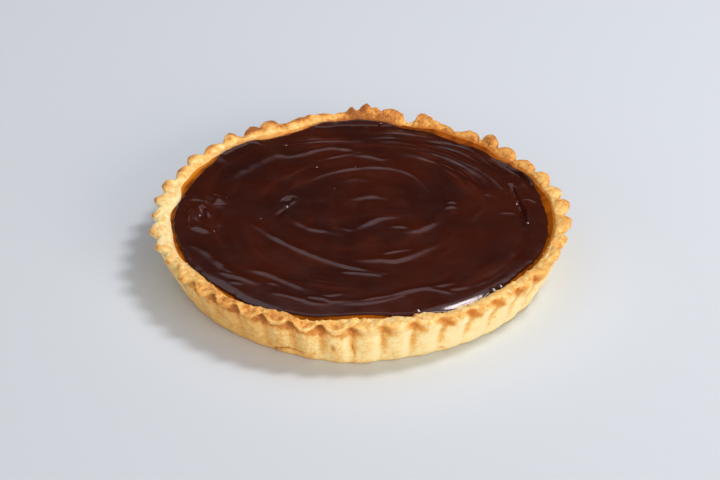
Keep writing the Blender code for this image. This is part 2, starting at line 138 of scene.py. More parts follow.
# Uneven places of the whole wall: angle, half width in degrees, outward, upward
WALL_PLACES = (
    (16, 10, -1.2 * MM, 0),
    (38, 27, -2.4 * MM, -0.4 * MM),       # slumped side at the right and back
    (58, 11, -1.6 * MM, -0.8 * MM),
    (86, 11, 0.3 * MM, 2.3 * MM),         # pinched high at the back
    (109, 10, -0.6 * MM, -1.2 * MM), (157, 8, -1.4 * MM, 0), (196, 15, 0.6 * MM, 0.2 * MM),
)
BREAK = 74.8
CREST_PLACES = (
    (BREAK, 2.2, -1.8 * MM, -40.0 * MM),  # broken-out notch
    (73.8, 2.6, -0.6 * MM, -1.0 * MM), (5, 3.5, 0.8 * MM, 0.3 * MM), (24, 2.2, -0.9 * MM, -0.6 * MM),
    (34.5, 3.0, -0.5 * MM, -0.5 * MM), (49.9, 1.6, -0.5 * MM, -1.6 * MM), (57, 2.5, -0.5 * MM, -1.0 * MM),
    (67, 2.6, 0.5 * MM, 1.8 * MM), (84.6, 2.6, 0.2 * MM, 1.5 * MM),
    (88.6, 2.2, 0.2 * MM, 3.0 * MM),      # pointed tip
    (90.6, 1.6, 0, 1.5 * MM),
    (92.6, 2.2, 0, 4.5 * MM),             # smaller tip beside it
    (98.2, 2.2, 0, 1.2 * MM), (105.0, 3.0, 0, 2.6 * MM), (115.6, 2.5, 0, -1.4 * MM),
    (129.6, 2.6, -0.8 * MM, -1.8 * MM), (154.5, 2.0, 0.8 * MM, 0.6 * MM),
    (163.3, 1.6, 0.9 * MM, 0.8 * MM), (186.8, 1.8, 0.9 * MM, 0.4 * MM), (357, 3.0, 0.9 * MM, 0),
)
# Where the wall is thicker or thinner inside: angle, half width in degrees, outward
THICK_PLACES = (
    (0, 34, -0.6 * MM), (117, 15, -3.8 * MM), (155, 7, 1.0 * MM), (170, 10, -2.2 * MM),
    (188, 34, -0.8 * MM), (190, 12, -0.7 * MM), (215, 12, -1.2 * MM), (235, 15, 2.4 * MM),
    (254.5, 9, 3.0 * MM), (271, 8, -0.8 * MM), (282, 13, -1.2 * MM), (295, 5, 1.3 * MM),
)
# Where the rim's lobes bulge inwards too
INNER_BULGES = ((284, 13, 1.2 * MM),)
BASE_PLACES = (
    (262, 24, 1.6 * MM, 0),               # bulge at the front of the base edge
    (268, 10, 0.8 * MM, 0),
)
LOBE_DRIFT = ((2, 12, 1.4), (46.5, 6, -1.0), (50, 75, 4.5), (75.1, 7, 1.5), (88, 18, 2.0), (117, 9, 3.0))
# How the lobes differ round the tart: angle, half width in degrees, strength
KNUCKLES = ((350, 50, 0.7), (40, 50, 1.0), (88, 20, 0.6))  # round and parted by creases
FLAT_TOPS = ((248, 40, 0.9), (280, 40, 0.6), (318, 30, 0.5))  # pressed flat on top
HANGING = ((235, 42, 1.0), (263, 20, 0.75))  # hanging over the wall
POINTED = ((178, 34, 0.9),)      # teeth with tips
BEADS = ((306, 42, 1.0),)        # set close, and standing out less
SHARP_FLUTES = ((303, 60, 1.0),)  # wall ribs that meet in sharp valleys
FAINT_FLUTES = ((226, 42, 0.7),)  # wall ribs that the dough has filled
SOFT_LOBES = ((301, 47, 1.0),)   # rounded over, with no lip or hollow under it
SMOOTH_INSIDE = ((145, 65, 0.8),)  # teeth at the outer edge alone, smooth inside
PLEAT_PITCH = 3.3 * MM           # of the faint pleats inside the back left
WAVE_POWER = 2.6                 # how square the waves of the hanging rim are
BEAD_CLOSENESS = 0.45
BEAD_FILL = 0.5 * MM
BEAD_FILL_UNDER = 1.6 * MM       # and the valleys of the wall close up under them
LOBE_LIFTS = ((95, 95, 1.0 * MM),)  # height that lobes gain over the notches
# Lobes that differ from their neighbours: number, outward, upward
ODD_LOBES = (
    (0, 0.4 * MM, 0.2 * MM), (2, 0.5 * MM, 0.4 * MM),
    (5, 0.8 * MM, 3.0 * MM),              # tall knuckle on the slumped side
    (6, 0.2 * MM, 0.8 * MM), (7, -1.2 * MM, -1.4 * MM),
    (8, 0.6 * MM, 0.6 * MM),              # beside the break
    (11, -0.3 * MM, -0.8 * MM), (13, 0, 0.8 * MM), (14, 0.2 * MM, 0.4 * MM), (16, 0.8 * MM, 1.0 * MM),
    (18, 0.6 * MM, 0.4 * MM), (20, 1.2 * MM, 0), (21, 1.2 * MM, 0), (23, 1.0 * MM, 0),
)
GANACHE_PLACES = (
    (8, 12, -0.4 * MM, 0), (23, 7, 1.6 * MM, 1.0 * MM), (40, 12, -2.6 * MM, 0), (57, 15, -3.6 * MM, 0),
    (73, 9, -1.6 * MM, 0), (83, 7, 1.0 * MM, 1.8 * MM), (91, 9, 1.6 * MM, 2.6 * MM),
    (101, 9, 1.6 * MM, 2.4 * MM), (117, 11, -2.6 * MM, 0), (130, 7, 1.6 * MM, 1.4 * MM),
    (138, 9, 1.6 * MM, 1.6 * MM), (162, 18, -1.2 * MM, 0), (211, 14, 0.9 * MM, 0), (239, 12, 1.6 * MM, 0),
    (271, 21, -4.6 * MM, 0), (292, 8, 0.6 * MM, 0.3 * MM), (302, 10, 2.0 * MM, 0), (315, 8, -0.6 * MM, 0),
    (326, 7, -1.0 * MM, 0), (342, 14, 0.8 * MM, 0),
)
# Where the ganache's edge runs out thin: angle, half width in degrees, thickness lost
THIN_EDGES = ((264, 26, 0.7 * MM),)
# Where the caramel's film runs higher up the crust: angle, half width in degrees, how much
FILM_PLACES = (
    (12, 44, 1.6 * MM), (58, 16, 1.0 * MM), (38, 9, -1.6 * MM), (112, 12, 1.0 * MM), (152, 16, 1.3 * MM),
    (170, 14, 0.8 * MM), (266, 12, 0.5 * MM),
)
# Where the film is fuller, with less of a hollow: angle, half width in degrees, how much
FULL_FILM = ((20, 50, 1.1), (112, 14, 0.8), (158, 22, 0.7))
# How the ganache's edge rolls over: angle, width of the roll and drop across it in mm
ROLLED_EDGE = (
    (200, 2.0, 0.0), (209, 2.4, 0.8), (217, 1.6, 0.3), (224, 3.0, 1.0), (238, 2.4, 0.8), (247, 1.6, 0.0),
    (287, 1.8, 0.0), (292, 2.4, 0.8), (295.3, 2.8, 1.9), (299, 3.0, 2.3), (303.3, 2.9, 2.35),
    (307.4, 2.8, 2.2), (310.4, 2.1, 0.9), (313, 1.8, 0.6), (318, 1.7, 0.5), (322, 1.5, 0.3),
    (345, 1.5, 0.0),
)
ROLL_POWER = 1.35
ROLLED_UNDER = 0.6               # how much of that drop its underside takes part in

# Spatula strokes in the ganache: the places it passes in mm, the half width of its two sides
# in mm (left and right of its way), and its height in mm
STROKES = (
    # the long ridge across the front left and the thin one beside it
    (((-53, -8), (-48, -13), (-40, -22), (-30, -31), (-20, -38.5), (-10, -44.5), (0, -49),
      (9, -52)), 2.4, 1.5, 0.62),
    (((-9, -51), (0, -52.2), (9, -54)), 1.2, 0.9, 0.3),
    # the middle
    (((-34, -2), (-29, -9), (-23, -13.5), (-16, -15.5), (-10, -18)), 2.6, 1.8, 0.45),
    (((-10, -12.5), (-4, -15)), 1.8, 1.4, 0.22),
    (((-2, -13), (4, -7.5), (10, -3.5), (17, -2)), 2.4, 2.2, 0.52),
    (((14, -11.5), (19, -11.5), (23, -13)), 1.6, 1.3, 0.25),
    (((22, -16), (28, -14), (33, -9.5), (36.5, -5), (39, 1)), 2.6, 2.2, 0.55),
    (((-6, 13.5), (1, 15.5), (7, 16.5), (14, 14)), 2.6, 2.0, 0.42),
    (((-9, 31), (-2, 33), (5, 31)), 2.0, 1.6, 0.22),
    # the ring round it
    (((-27, 30), (-20, 36), (-12, 40.5), (-2, 43.5), (7, 44.5), (16, 43), (23, 39), (29, 32),
      (33, 22)), 1.8, 1.4, 0.4),
    (((-38, 33), (-33, 39.5), (-27, 45)), 1.6, 1.3, 0.22),
    # lower middle
    (((0, -41), (9, -40.5), (16, -41), (23, -37.5), (29, -33), (36, -27)), 2.6, 2.0, 0.5),
    (((9, -36), (14, -34), (20, -32.2), (25, -31.6)), 1.2, 1.0, 0.3),
    # back left sweep
    (((-64, 35), (-57, 43), (-50, 51), (-43, 57), (-37, 59.5)), 3.6, 3.0, 0.62),
    (((-42, 56.8), (-36, 55.6), (-30, 57.5), (-22, 62), (-14, 64), (-6, 62), (2, 58.5),
      (9, 57)), 2.4, 1.9, 0.48),
    (((-24, 50.5), (-14, 54.5), (-6, 57.5), (0, 59.5)), 1.3, 1.1, 0.3),
    (((-6, 57), (4, 55.2), (10, 52.5), (15, 53)), 1.7, 1.4, 0.34),
    # strands at the back
    (((-40, 70.5), (-30, 72.6), (-20, 73.2), (-8, 72.6), (2, 71.6)), 1.8, 1.4, 0.4),
    (((-36, 68), (-26, 70), (-14, 70.8), (0, 70)), 1.1, 1.0, 0.26),
    (((8, 79.5), (18, 80), (28, 77.5), (37, 74.5)), 1.7, 1.3, 0.38),
    (((4, 74), (14, 75), (24, 73.5)), 1.6, 1.3, 0.26),
    (((10, 71), (20, 69.5), (28, 65.5), (38, 59.5), (48, 52), (56, 45), (62, 37), (67, 29),
      (71, 20)), 1.5, 1.3, 0.40),
    (((14, 66.5), (24, 64.5), (33, 60), (42, 54), (51, 46.5), (58, 38), (64, 28)), 1.2, 1.1, 0.32),
    (((24, 73.5), (33, 71.5), (43, 69.5), (52, 65.5), (58, 60), (62, 53), (66, 45)), 1.5, 1.2, 0.42),
    (((34, 67), (43, 64.5), (50, 60.5), (55, 55), (59, 49)), 1.3, 1.1, 0.36),
    (((57, 47), (62, 39), (66, 31), (69, 24)), 1.1, 1.0, 0.32),
    (((14, 60), (22, 58.5), (30, 55), (38, 49)), 3.4, 2.8, 0.34),
    # the valley inside the strands, and the deep crease near the right edge
    (((44, 50), (52, 42), (57, 33), (60, 24), (62, 13)), 3.0, 2.4, -0.5),
    (((73.5, 27), (75, 19), (76.4, 11), (77.6, 3), (78, -4), (77.6, -10)), 1.1, 1.2, -2.6),
    (((77.5, -8), (76.5, -17), (74, -28), (70, -39), (65, -49), (58, -58)), 2.2, 1.6, -0.42),
    (((52, -62), (59, -57), (65, -50), (70, -42)), 1.3, 1.1, 0.25),
    (((66, 53), (71, 47), (76, 41), (80.5, 34), (83.5, 27)), 1.3, 1.3, -1.7),
    (((53, -6), (56, 0), (59, 7)), 2.2, 1.6, 0.35),
    (((79, 14), (82, 13.5), (85, 11)), 1.0, 0.9, 0.34),
    (((81, 13), (80.2, 7), (80, 1), (79.4, -8)), 1.0, 0.8, 0.5),
    (((66, 1), (71, 1.4), (76, 0)), 1.6, 1.4, 0.2),
    # the dent in the right middle
    (((42, 10), (44, 10.8), (46, 10)), 1.1, 0.9, 0.35),
    (((41, 5), (43.5, 6.6), (46, 5.6)), 1.2, 1.0, 0.42),
    (((60, 18), (62, 18.6), (63, 16.5)), 0.9, 0.8, 0.3),
    # front left arcs
    (((-80, -27), (-75, -31), (-70, -37), (-66, -43), (-61, -50), (-55, -55.5),
      (-48, -60)), 2.3, 1.7, 0.55),
    (((-65, -50.5), (-60, -54), (-54, -57)), 1.0, 0.9, 0.3),
    (((-51, -49), (-44, -52), (-38, -56), (-32, -60.5), (-25, -65)), 2.2, 1.7, 0.48),
    (((-60, -58.5), (-54, -60.5)), 1.0, 0.9, 0.26),
    (((-43, -59.5), (-37, -62)), 1.1, 0.9, 0.2),
    # along the front edge
    (((-40, -68), (-33, -70.5), (-28, -73), (-22, -76.3), (-15, -77.4)), 1.2, 1.0, 0.38),
    (((-27.5, -69.5), (-26, -72), (-25.4, -75)), 0.9, 0.9, 0.34),
    (((-24, -71.5), (-17, -73), (-13.5, -75.4), (-9, -75)), 1.0, 0.9, 0.34),
    (((-18, -70.2), (-13, -70.4), (-8, -68.6)), 1.0, 0.8, 0.24),
    (((-12, -75), (-2, -75), (8, -72.4), (16, -69.4), (24, -66), (32, -63.4),
      (42, -60.4)), 1.7, 1.2, 0.46),
    (((-8, -77.2), (2, -76.4), (11, -74), (20, -70)), 1.0, 0.9, 0.28),
    (((28, -64.6), (35, -66), (41, -68.4)), 1.3, 1.0, 0.3),
    (((39, -65), (44, -64.6), (50, -62.6)), 1.4, 1.1, 0.24),
    # the torn scar near the left edge
    (((-70, 2), (-68.5, -5), (-67, -12)), 1.6, 1.8, 0.34),
    (((-80, 8), (-81.6, 2), (-82.2, -4), (-81.5, -10)), 1.0, 1.1, 0.8),
    (((-81, -11), (-77, -13), (-72.5, -16)), 1.5, 1.9, 0.7),
    (((-76.5, 9), (-74.5, 3), (-72.5, -2)), 1.0, 1.3, 1.3),
    (((-77.5, 9), (-79, 4), (-79, -2), (-77.5, -6)), 0.9, 0.9, 0.75),
    (((-76, 6), (-76.4, 0), (-75.5, -4)), 1.5, 1.5, -2.4),
    (((-83, 14), (-79, 13.6), (-76, 12)), 1.4, 1.1, 0.4),
    (((-76, 19), (-75.6, 14), (-74.5, 10)), 0.9, 0.9, 0.55),
    (((-73, 17), (-69.5, 14), (-68.6, 8)), 2.8, 2.4, 1.1),
    # the crater left of the middle
    (((-39, 11), (-37.5, 14.5), (-34, 16.6), (-31, 16), (-29.5, 13.5)), 1.0, 0.9, 0.38),
    (((-32.6, 15), (-32.4, 12), (-34.6, 8.6), (-37, 5)), 0.9, 0.8, 0.5),
    (((-38, 11), (-35.6, 12.4), (-34.8, 10)), 1.4, 1.4, -0.6),
    (((-37, 4), (-39.6, -1), (-41, -6)), 1.3, 1.1, -0.4),
)
# Where the spatula combed the skin into fine strands: angle, half width in degrees, strength
COMBED = ((50, 40, 1.0), (110, 30, 0.4), (250, 30, 0.35))
COMB_PITCH = 1.4 * MM            # from strand to strand
COMB_LENGTH = 34 * MM
COMB_DEPTH = 0.07 * MM
# Blisters where air was caught in the skin: place and half width in mm
BLISTERS = (
    (-22, 44.6, 0.8), (-2.8, 44.6, 0.7), (-38, 67, 1.1), (-36, 6.6, 1.2), (-77.7, 0.2, 1.1),
    (-48, -4.6, 0.5), (-69.8, -15.4, 0.6), (-13, 24, 0.4), (75.3, 10.4, 0.8), (79.5, -7.9, 0.9),
    (-65.4, 15.4, 0.5), (10.2, 88, 0.9), (59.9, -64.5, 1.8), (63.3, -61.6, 1.5), (25.2, -82.4, 1.6),
)
BLISTER_LEAN = 305               # the way their flatter flank faces
BLISTER_SLOPE = 0.66
# Crumbs broken off the rim: how many, between which angles, and how toasted
CRUMBS = 30
CRUMB_SPAN = (205, 345)
CRUMB_TOAST = 0.4
CRUMB_SCATTER = (-0.4, 1.6)      # how far in or out of the rim's inner edge they lie, in mm
CRUMB_RADII = (0.22, 0.45)       # in mm

# Sizes in the baked crust, from lumps down to grain, and of the streaks drawn up its wall
LUMP_SIZE = 7 * MM
CRUMB_SIZE = 2.2 * MM
GRAIN_SIZE = 0.9 * MM
STREAK_SIZE = 1.5 * MM
STREAK_SQUEEZE = 0.16            # their width as a share of their length
# Heights on the outside in mm
HOLLOW_HEIGHT = 21.0             # hollows under the hanging lobes
BEAD_HEIGHT = 18.6               # the swelling under the beads
NOTCH_HEIGHT = 23.0              # the notches between them
SPOT_HEIGHT = 20.8               # darker spots beside the notches: partly toasting, partly painted shade in the notch hollows
SHADED_HEIGHT = 19.2             # painted shade in a line under the hanging lobes
# Sides of the tart that came out differently, or where light or shade is painted: angle, half width in
# degrees
ROUGH_SIDE = (338, 30)
PLEATED_INSIDE = (112, 26)
# PALE_WALL is painted light: the wall is paler on the side that the lights fall on
PALE_WALL = (310, 60)
GOLDEN_WALL = (232, 44)
RIBBED_WALL = (294, 76)          # painted shade in the valleys beside painted light on the ribs
BROWN_TIPS = (166, 62)
BROWN_HILLS = (122, 34)
# PALE_INSIDE is painted light: the inner face is paler on the left, which faces the lights
PALE_INSIDE = (170, 80)
GOLDEN_INSIDE = (350, 70)
BACK_INSIDE = (104, 42)
THIN_FILM = (152, 34)
CALM_EDGE = (300, 30)            # where the ganache's edge is least ragged
MM_PER_DEGREE = RIM_RADIUS / MM * math.pi / 180
# Marks in the wall: angle, height in mm, half width and half height in mm, depth in mm, and
# how toasted they are
WALL_MARKS = (
    (262.25, 10.4, 1.2, 2.4, 0.6, 0.36), (265.0, 16.6, 0.8, 0.9, 0.5, 0.45),
    (267.7, 11.0, 0.5, 2.4, 0.5, 0.30), (268.2, 6.8, 0.5, 2.4, 0.6, 0.40),
    (293.6, 3.4, 1.5, 0.5, 0.4, 0.55), (294.6, 1.9, 1.3, 0.5, 0.4, 0.50),
    (257.0, 5.0, 0.6, 0.7, 0.4, 0.30), (279.0, 6.0, 0.5, 0.5, 0.4, 0.30),
    (310.0, 12.0, 0.6, 0.6, 0.4, 0.30),
)
# Cracks across the top of the rim: angle and radius in mm of their inner and outer ends
TOP_CRACKS = (
    ((284.4, 91.4), (286.6, 95.8)),
    ((294.0, 89.4), (292.8, 93.8)),
    ((301.7, 90.2), (300.5, 94.0)),
)
# A crack that rises from the base's edge: first and last angle, and its greatest height in mm
BASE_CRACK = (244.5, 254.5, 5.2)
GANACHE_GRID = 292               # squares along each side of the grid that is bent into the disc
# Where the rim browned more or less than elsewhere, and at 75 painted light, the shaded floor of the
# broken-out notch painted paler: angle, half width in degrees, how much
GOLDEN_RIM = (
    (50, 45, 0.33), (85, 25, 0.33), (75, 4, -0.40), (91, 6, 0.25), (0, 40, 0.10), (232, 34, 0.14),
    (282, 30, -0.10), (186, 38, -0.20),
)
# How shortcrust browns between pale and scorched: share of the way, colour
BROWNING = ((0.22, "F4DA9C"), (0.42, "EABC6E"), (0.62, "DD9F4E"), (0.82, "BE7832"))

# Camera, in metres and degrees, its lens and sensor in mm
CAMERA_PLACE = (-0.00042, -0.85924, 0.54908)
CAMERA_TILT = 57.801
LENS = 104.995
SENSOR = 36
FLOOR_HALF = 3.0
ROOM_BRIGHTNESS = 1.07
# Lights aimed at the tart: name, place, width and height in metres, power in watts, colour
LIGHTS = (
    ("right window", (0.683, 0.099, 1.195), 0.24, 0.38, 9.8, "FFFAF6"),
    ("bright wall at the right", (4.64, -5.66, 2.38), 4.4, 3.2, 262.0, "FFF0DC"),
    ("pale wall at the left", (-4.32, -5.16, 1.40), 3.4, 2.4, 26.0, "FFE6C2"),
)


def linear(hexcode):
    """A colour given in sRGB hex, in the linear values that shaders and lights take"""
    parts = [int(hexcode[i:i + 2], 16) / 255 for i in (0, 2, 4)]
    return tuple(c / 12.92 if c <= 0.04045 else ((c + 0.055) / 1.055) ** 2.4 for c in parts) + (1.0,)


def add(tree, kind, inputs=None, **settings):
    """Adds a shader node with its settings. An input is a value, or the output it is linked to"""
    made = tree.nodes.new("ShaderNode" + kind)
    for name, value in settings.items():
        setattr(made, name, value)
    for socket, value in (inputs or {}).items():
        if isinstance(value, bpy.types.NodeSocket):
            tree.links.new(value, made.inputs[socket])
        else:
            made.inputs[socket].default_value = value
    return made


def hump(angle, centre, half_width):
    """Smooth hump round the tart, 1 at its centre and 0 beyond its half width"""
    away = abs((angle - centre + 180) % 360 - 180) / half_width
    if away >= 1:
        return 0.0
    return math.cos(away * math.pi / 2) ** 2


def humps(angle, places, column=2):
    """Sum of the humps of a table, each as high as its column says"""
    return sum(place[column] * hump(angle, place[0], place[1]) for place in places)


def smooth(t):
    """Eases from 0 to 1"""
    t = np.clip(t, 0.0, 1.0)
    return t * t * (3 - 2 * t)


def uneven_line(seed, waves, size):
    """A line round the tart that strays by about size, made of a few seeded waves"""
    chance = random.Random(seed)
    terms = [(wave, chance.uniform(0, 2 * math.pi), chance.uniform(0.5, 1)) for wave in waves]
    total = sum(weight for _, _, weight in terms)

    def line(angle):
        turn = math.radians(angle)
        return size * sum(weight * math.sin(wave * turn + start) for wave, start, weight in terms) / total

    return line


rim_stray = uneven_line(3, (2, 3, 5, 9), 0.5 * MM)
crest_stray = uneven_line(5, (3, 7, 11, 19), 0.5 * MM)
wall_stray = uneven_line(7, (4, 9, 15), 0.4 * MM)
edge_waves = uneven_line(13, (31, 47, 67, 89, 113), 0.45 * MM)
film_waves = uneven_line(17, (23, 41, 59, 83), 0.5 * MM)


def lobe_sizes():
    """How strongly each lobe is pressed, and how far more it stands out and up"""
    chance = random.Random(11)
    sizes = [[chance.uniform(*LOBE_STRENGTH), 0, chance.uniform(*LOBE_RISE) * MM] for _ in range(FLUTES)]
    for number, out, up in ODD_LOBES:
        sizes[number][1:] = out, up
    return sizes


LOBES = lobe_sizes()


def lobe_angle(flute):
    """Angle of a place that many flutes round the shell"""
    angle = FIRST_FLUTE + flute * 360 / FLUTES
    return angle + humps(angle, LOBE_DRIFT)


def shell_section(flute):
    """Angle of one place round the shell, with the radius and height of its skin there, in rows
    from the base edge up the wall, over the rim and down to the floor inside"""
    angle = lobe_angle(flute)
    lobe = round(flute)
    across = (flute - lobe) * math.pi
    size, stand, lift = LOBES[lobe % FLUTES]
    knuckle = humps(angle, KNUCKLES)
    flat = humps(angle, FLAT_TOPS)
    hanging = humps(angle, HANGING)
    pointed = humps(angle, POINTED)
    bead = humps(angle, BEADS)
    swell = max(0.0, math.cos(across)) ** (LOBE_ROUNDNESS - KNUCKLE_ROUNDNESS * knuckle)
    wave = 1 - abs(math.sin(across)) ** WAVE_POWER
    swell += (wave - swell) * max(hanging, bead)
    tooth = 1 - abs(across) * 2 / math.pi
    rim_lobe = size * (swell + (tooth - swell) * pointed)
    wall_lobe = size * max(0.0, math.cos(across)) ** (RIB_ROUNDNESS - humps(angle, SHARP_FLUTES))
    wall_lobe += (0.5 - wall_lobe) * humps(angle, FAINT_FLUTES)
    out = humps(angle, WALL_PLACES) + rim_stray(angle)
    up = humps(angle, WALL_PLACES, 3) + crest_stray(angle)
    nib = humps(angle, CREST_PLACES)
    inner_rise = RIM_HEIGHT + up - WALL_TOP
    rise = inner_rise + humps(angle, CREST_PLACES, 3) + (lift + humps(angle, LOBE_LIFTS)) * rim_lobe
    rise = max(LOWEST_CREST - WALL_TOP, rise)
    inner_rise = min(inner_rise, rise)
    base = BASE_RADIUS - BASE_FLUTE_DEPTH * (1 - wall_lobe) + humps(angle, BASE_PLACES)
    top = RIM_RADIUS - RIM_FLUTE_DEPTH * (RIM_SET_BACK - wall_lobe) + out
    inner = FILLING_RADIUS + humps(angle, THICK_PLACES) + wall_stray(angle) + out
    inner -= humps(angle, INNER_BULGES) * (2 * rim_lobe - 1)
    inside = 1 - humps(angle, SMOOTH_INSIDE)
    crease = 1 - KNUCKLE_CREASE * knuckle * (1 - rim_lobe)
    rows = [(base - BASE_BEVEL, 0.0), (base, BASE_BEVEL)]
    for height, belly in WALL_ROWS:
        filled = BEAD_FILL_UNDER * bead * (1 - wall_lobe) if height == WALL_TOP else 0
        rows.append((base + (top - base) * height / RIM_HEIGHT + belly + filled, height))
    for radius, spread, share, droop in RIM_ROWS:
        height = WALL_TOP + (share * crease - droop * hanging * rim_lobe) * rise
        spread *= inside if share == 1 else 1
        stand_out = (spread * (1 - BEAD_CLOSENESS * bead) + stand) * rim_lobe
        rows.append((radius + BEAD_FILL * bead + stand_out + out + nib, height))
    for outside, share, shrink, gain in INNER_ROWS:
        rows.append((inner + outside - shrink * flat, WALL_TOP + (share + gain * flat) * inner_rise))
    rows.append((FLOOR_RADIUS + FLOOR_CORNER, SHELL_FLOOR + FLOOR_CORNER))
    rows.append((FLOOR_RADIUS, SHELL_FLOOR))
    return angle, rows


def inner_radius(rows, height):
    """Radius of the shell's inner face at a height above the floor"""
    face = rows[-5:-1]
    for upper, lower in zip(face, face[1:]):
        if height >= lower[1]:
            share = (height - lower[1]) / (upper[1] - lower[1])
            return lower[0] + (upper[0] - lower[0]) * min(1.0, share)
    return face[-1][0]


def flute_at(angle):
    """The flute number at an angle, undoing the lobes' drift"""
    flute = (angle - FIRST_FLUTE) * FLUTES / 360
    for _ in range(6):
        flute -= (lobe_angle(flute) - angle) * FLUTES / 360
    return flute


def rolled_edge(angle):
    """Width of the ganache's rolled edge at an angle, and its drop there"""
    places, widths, drops = np.array(ROLLED_EDGE).T
    return np.interp(angle, places, widths) * MM, np.interp(angle, places, drops) * MM


def rounded_rows(sections):
    """Fine rows on smooth curves through the section rows of every column, as one array of
    columns, rows and (radius, height)"""
    knots = np.array(sections)
    first = 2 * knots[:, :1] - knots[:, 1:2]
    last = 2 * knots[:, -1:] - knots[:, -2:-1]
    knots = np.concatenate([first, knots, last], axis=1)
    steps = np.sqrt(np.linalg.norm(np.diff(knots, axis=1), axis=2)) + 1e-6
    fine = []
    for row, count in enumerate(FINE_ROWS):
        p0, p1, p2, p3 = (knots[:, row + k] for k in range(4))
        t1 = steps[:, row:row + 1]
        t2 = t1 + steps[:, row + 1:row + 2]
        t3 = t2 + steps[:, row + 2:row + 3]
        for k in range(count):
            t = t1 + (t2 - t1) * k / count
            a1 = p0 * (t1 - t) / t1 + p1 * t / t1
            a2 = p1 * (t2 - t) / (t2 - t1) + p2 * (t - t1) / (t2 - t1)
            a3 = p2 * (t3 - t) / (t3 - t2) + p3 * (t - t2) / (t3 - t2)
            b1 = a1 * (t2 - t) / t2 + a2 * t / t2
            b2 = a2 * (t3 - t) / (t3 - t1) + a3 * (t - t1) / (t3 - t1)
            fine.append(b1 * (t2 - t) / (t2 - t1) + b2 * (t - t1) / (t2 - t1))
    fine.append(knots[:, -2])
    return np.stack(fine, axis=1)


def inside_box(points):
    """Keeps points inside the box of the CAD model"""
    low, high = np.array(cad_box[0]), np.array(cad_box[1])
    return np.clip(points, low, high)


def mesh_of(name, points, faces):
    """A smooth mesh through points, kept inside the CAD model's box"""
    mesh = bpy.data.meshes.new(name)
    mesh.from_pydata(inside_box(np.array(points)).tolist(), [], faces)
    mesh.shade_smooth()
    return mesh


def write_field(mesh, name, field, kind="FLOAT"):
    """Stores a value for each point of a mesh, for its finish to read"""
    stored = mesh.attributes.new(name, kind, "POINT")
    channel = "vector" if kind == "FLOAT_VECTOR" else "value"
    stored.data.foreach_set(channel, np.ravel(field).astype(np.float32))


def ring_mesh(name, points):
    """A mesh through rows of points that run anticlockwise round the tart, shaped (rows,
    columns, 3), with a flat face under the first row and over the last"""
    rows, columns, _ = points.shape
    low = (np.arange(rows - 1)[:, None] * columns + np.arange(columns)[None, :]).ravel()
    after = (np.arange(rows - 1)[:, None] * columns + (np.arange(columns) + 1)[None, :] % columns).ravel()
    quads = np.stack([low, after, after + columns, low + columns], axis=1)
    faces = quads.tolist() + [list(reversed(range(columns)))]
    faces.append(list(range((rows - 1) * columns, rows * columns)))
    return mesh_of(name, points.reshape(-1, 3), faces)


def piece(name, mesh, finish, node):
    """A piece of the tart that rides on it and stands for its CAD solid"""
    mesh.materials.append(finish)
    made = bpy.data.objects.new(name, mesh)
    bpy.context.scene.collection.objects.link(made)
    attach(made, "root")
    if node:
        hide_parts(node)
    return made


def polar(angles, radii, heights):
    """Points at angles in degrees, radii and heights"""
    turn = np.radians(angles)
    return np.stack([radii * np.cos(turn), radii * np.sin(turn), heights + 0 * radii], axis=-1)


def noise_at(points, size, seed=0, octaves=3):
    """Smooth noise of about -1 to 1 at each point, with lumps of that size"""
    shift = Vector((seed * 7.31, seed * 3.17, seed * 5.71))
    return np.array([noise.fractal(Vector(p) / size + shift, 1.0, 2.0, octaves) for p in points.tolist()])


def vertex_normals(points):
    """Outward normals of rows of points round the tart"""
    along = np.roll(points, -1, axis=1) - np.roll(points, 1, axis=1)
    up = np.gradient(points, axis=0)
    normal = np.cross(along, up)
    return normal / (np.linalg.norm(normal, axis=2, keepdims=True) + 1e-12)


def shell_fields():
    """The shell's points before its crumb is pressed in, and what each place of it is like: its
    row and height, how much it belongs to the rim, the outside, the top or the inner face, where
    it lies across its lobe and past the last notch, how the lobes are shaped, and its crumb"""
    flutes = np.arange(FLUTES * SHELL_COLUMNS) / SHELL_COLUMNS
    sections = [shell_section(flute) for flute in flutes]
    angles = np.array([angle for angle, _ in sections])
    fine = rounded_rows([rows for _, rows in sections])
    points = polar(angles[:, None], fine[..., 0], fine[..., 1]).transpose(1, 0, 2)
    row = np.arange(len(points))[:, None] + 0 * flutes[None, :]

    def lumpy(size, seed, octaves, squeeze=1):
        return noise_at(points.reshape(-1, 3) * (1, 1, squeeze), size, seed, octaves).reshape(row.shape)

    def strength(places):
        return np.array([humps(angle, places) for angle in angles])[None, :]

    rim = smooth((row - UPPER_WALL) / (RIM_FOOT - UPPER_WALL))
    return SimpleNamespace(
        points=points, angles=angles, row=row, height=points[..., 2], height_mm=points[..., 2] / MM,
        strength=strength, near=lambda side: strength(((*side, 1),)),
        rim=rim * smooth((INNER_FOOT - row) / (INNER_FOOT - INNER_TOP)),
        outside=smooth((CREST - row) / (CREST - RIM_FOOT)),
        top_face=smooth((row - RIM_FOOT) / 4) * smooth((INNER_MIDDLE - row) / 5),
        inner_face=smooth((row - INNER_TOP) / 4),
        across=np.abs(flutes - np.round(flutes))[None, :] + 0 * row,
        past_notch=(flutes - 0.5 - np.round(flutes - 0.5))[None, :] * FLUTE_PITCH + 0 * row,
        knuckle=strength(KNUCKLES), flat=strength(FLAT_TOPS), hanging=strength(HANGING),
        bead=strength(BEADS), soft=np.minimum(1, 1.6 * strength(SOFT_LOBES)),
        lumps=lumpy(LUMP_SIZE, 1, 2), crumb=lumpy(CRUMB_SIZE, 2, 3), grain=lumpy(GRAIN_SIZE, 3, 2),
        streaks=lumpy(STREAK_SIZE, 4, 2, STREAK_SQUEEZE))


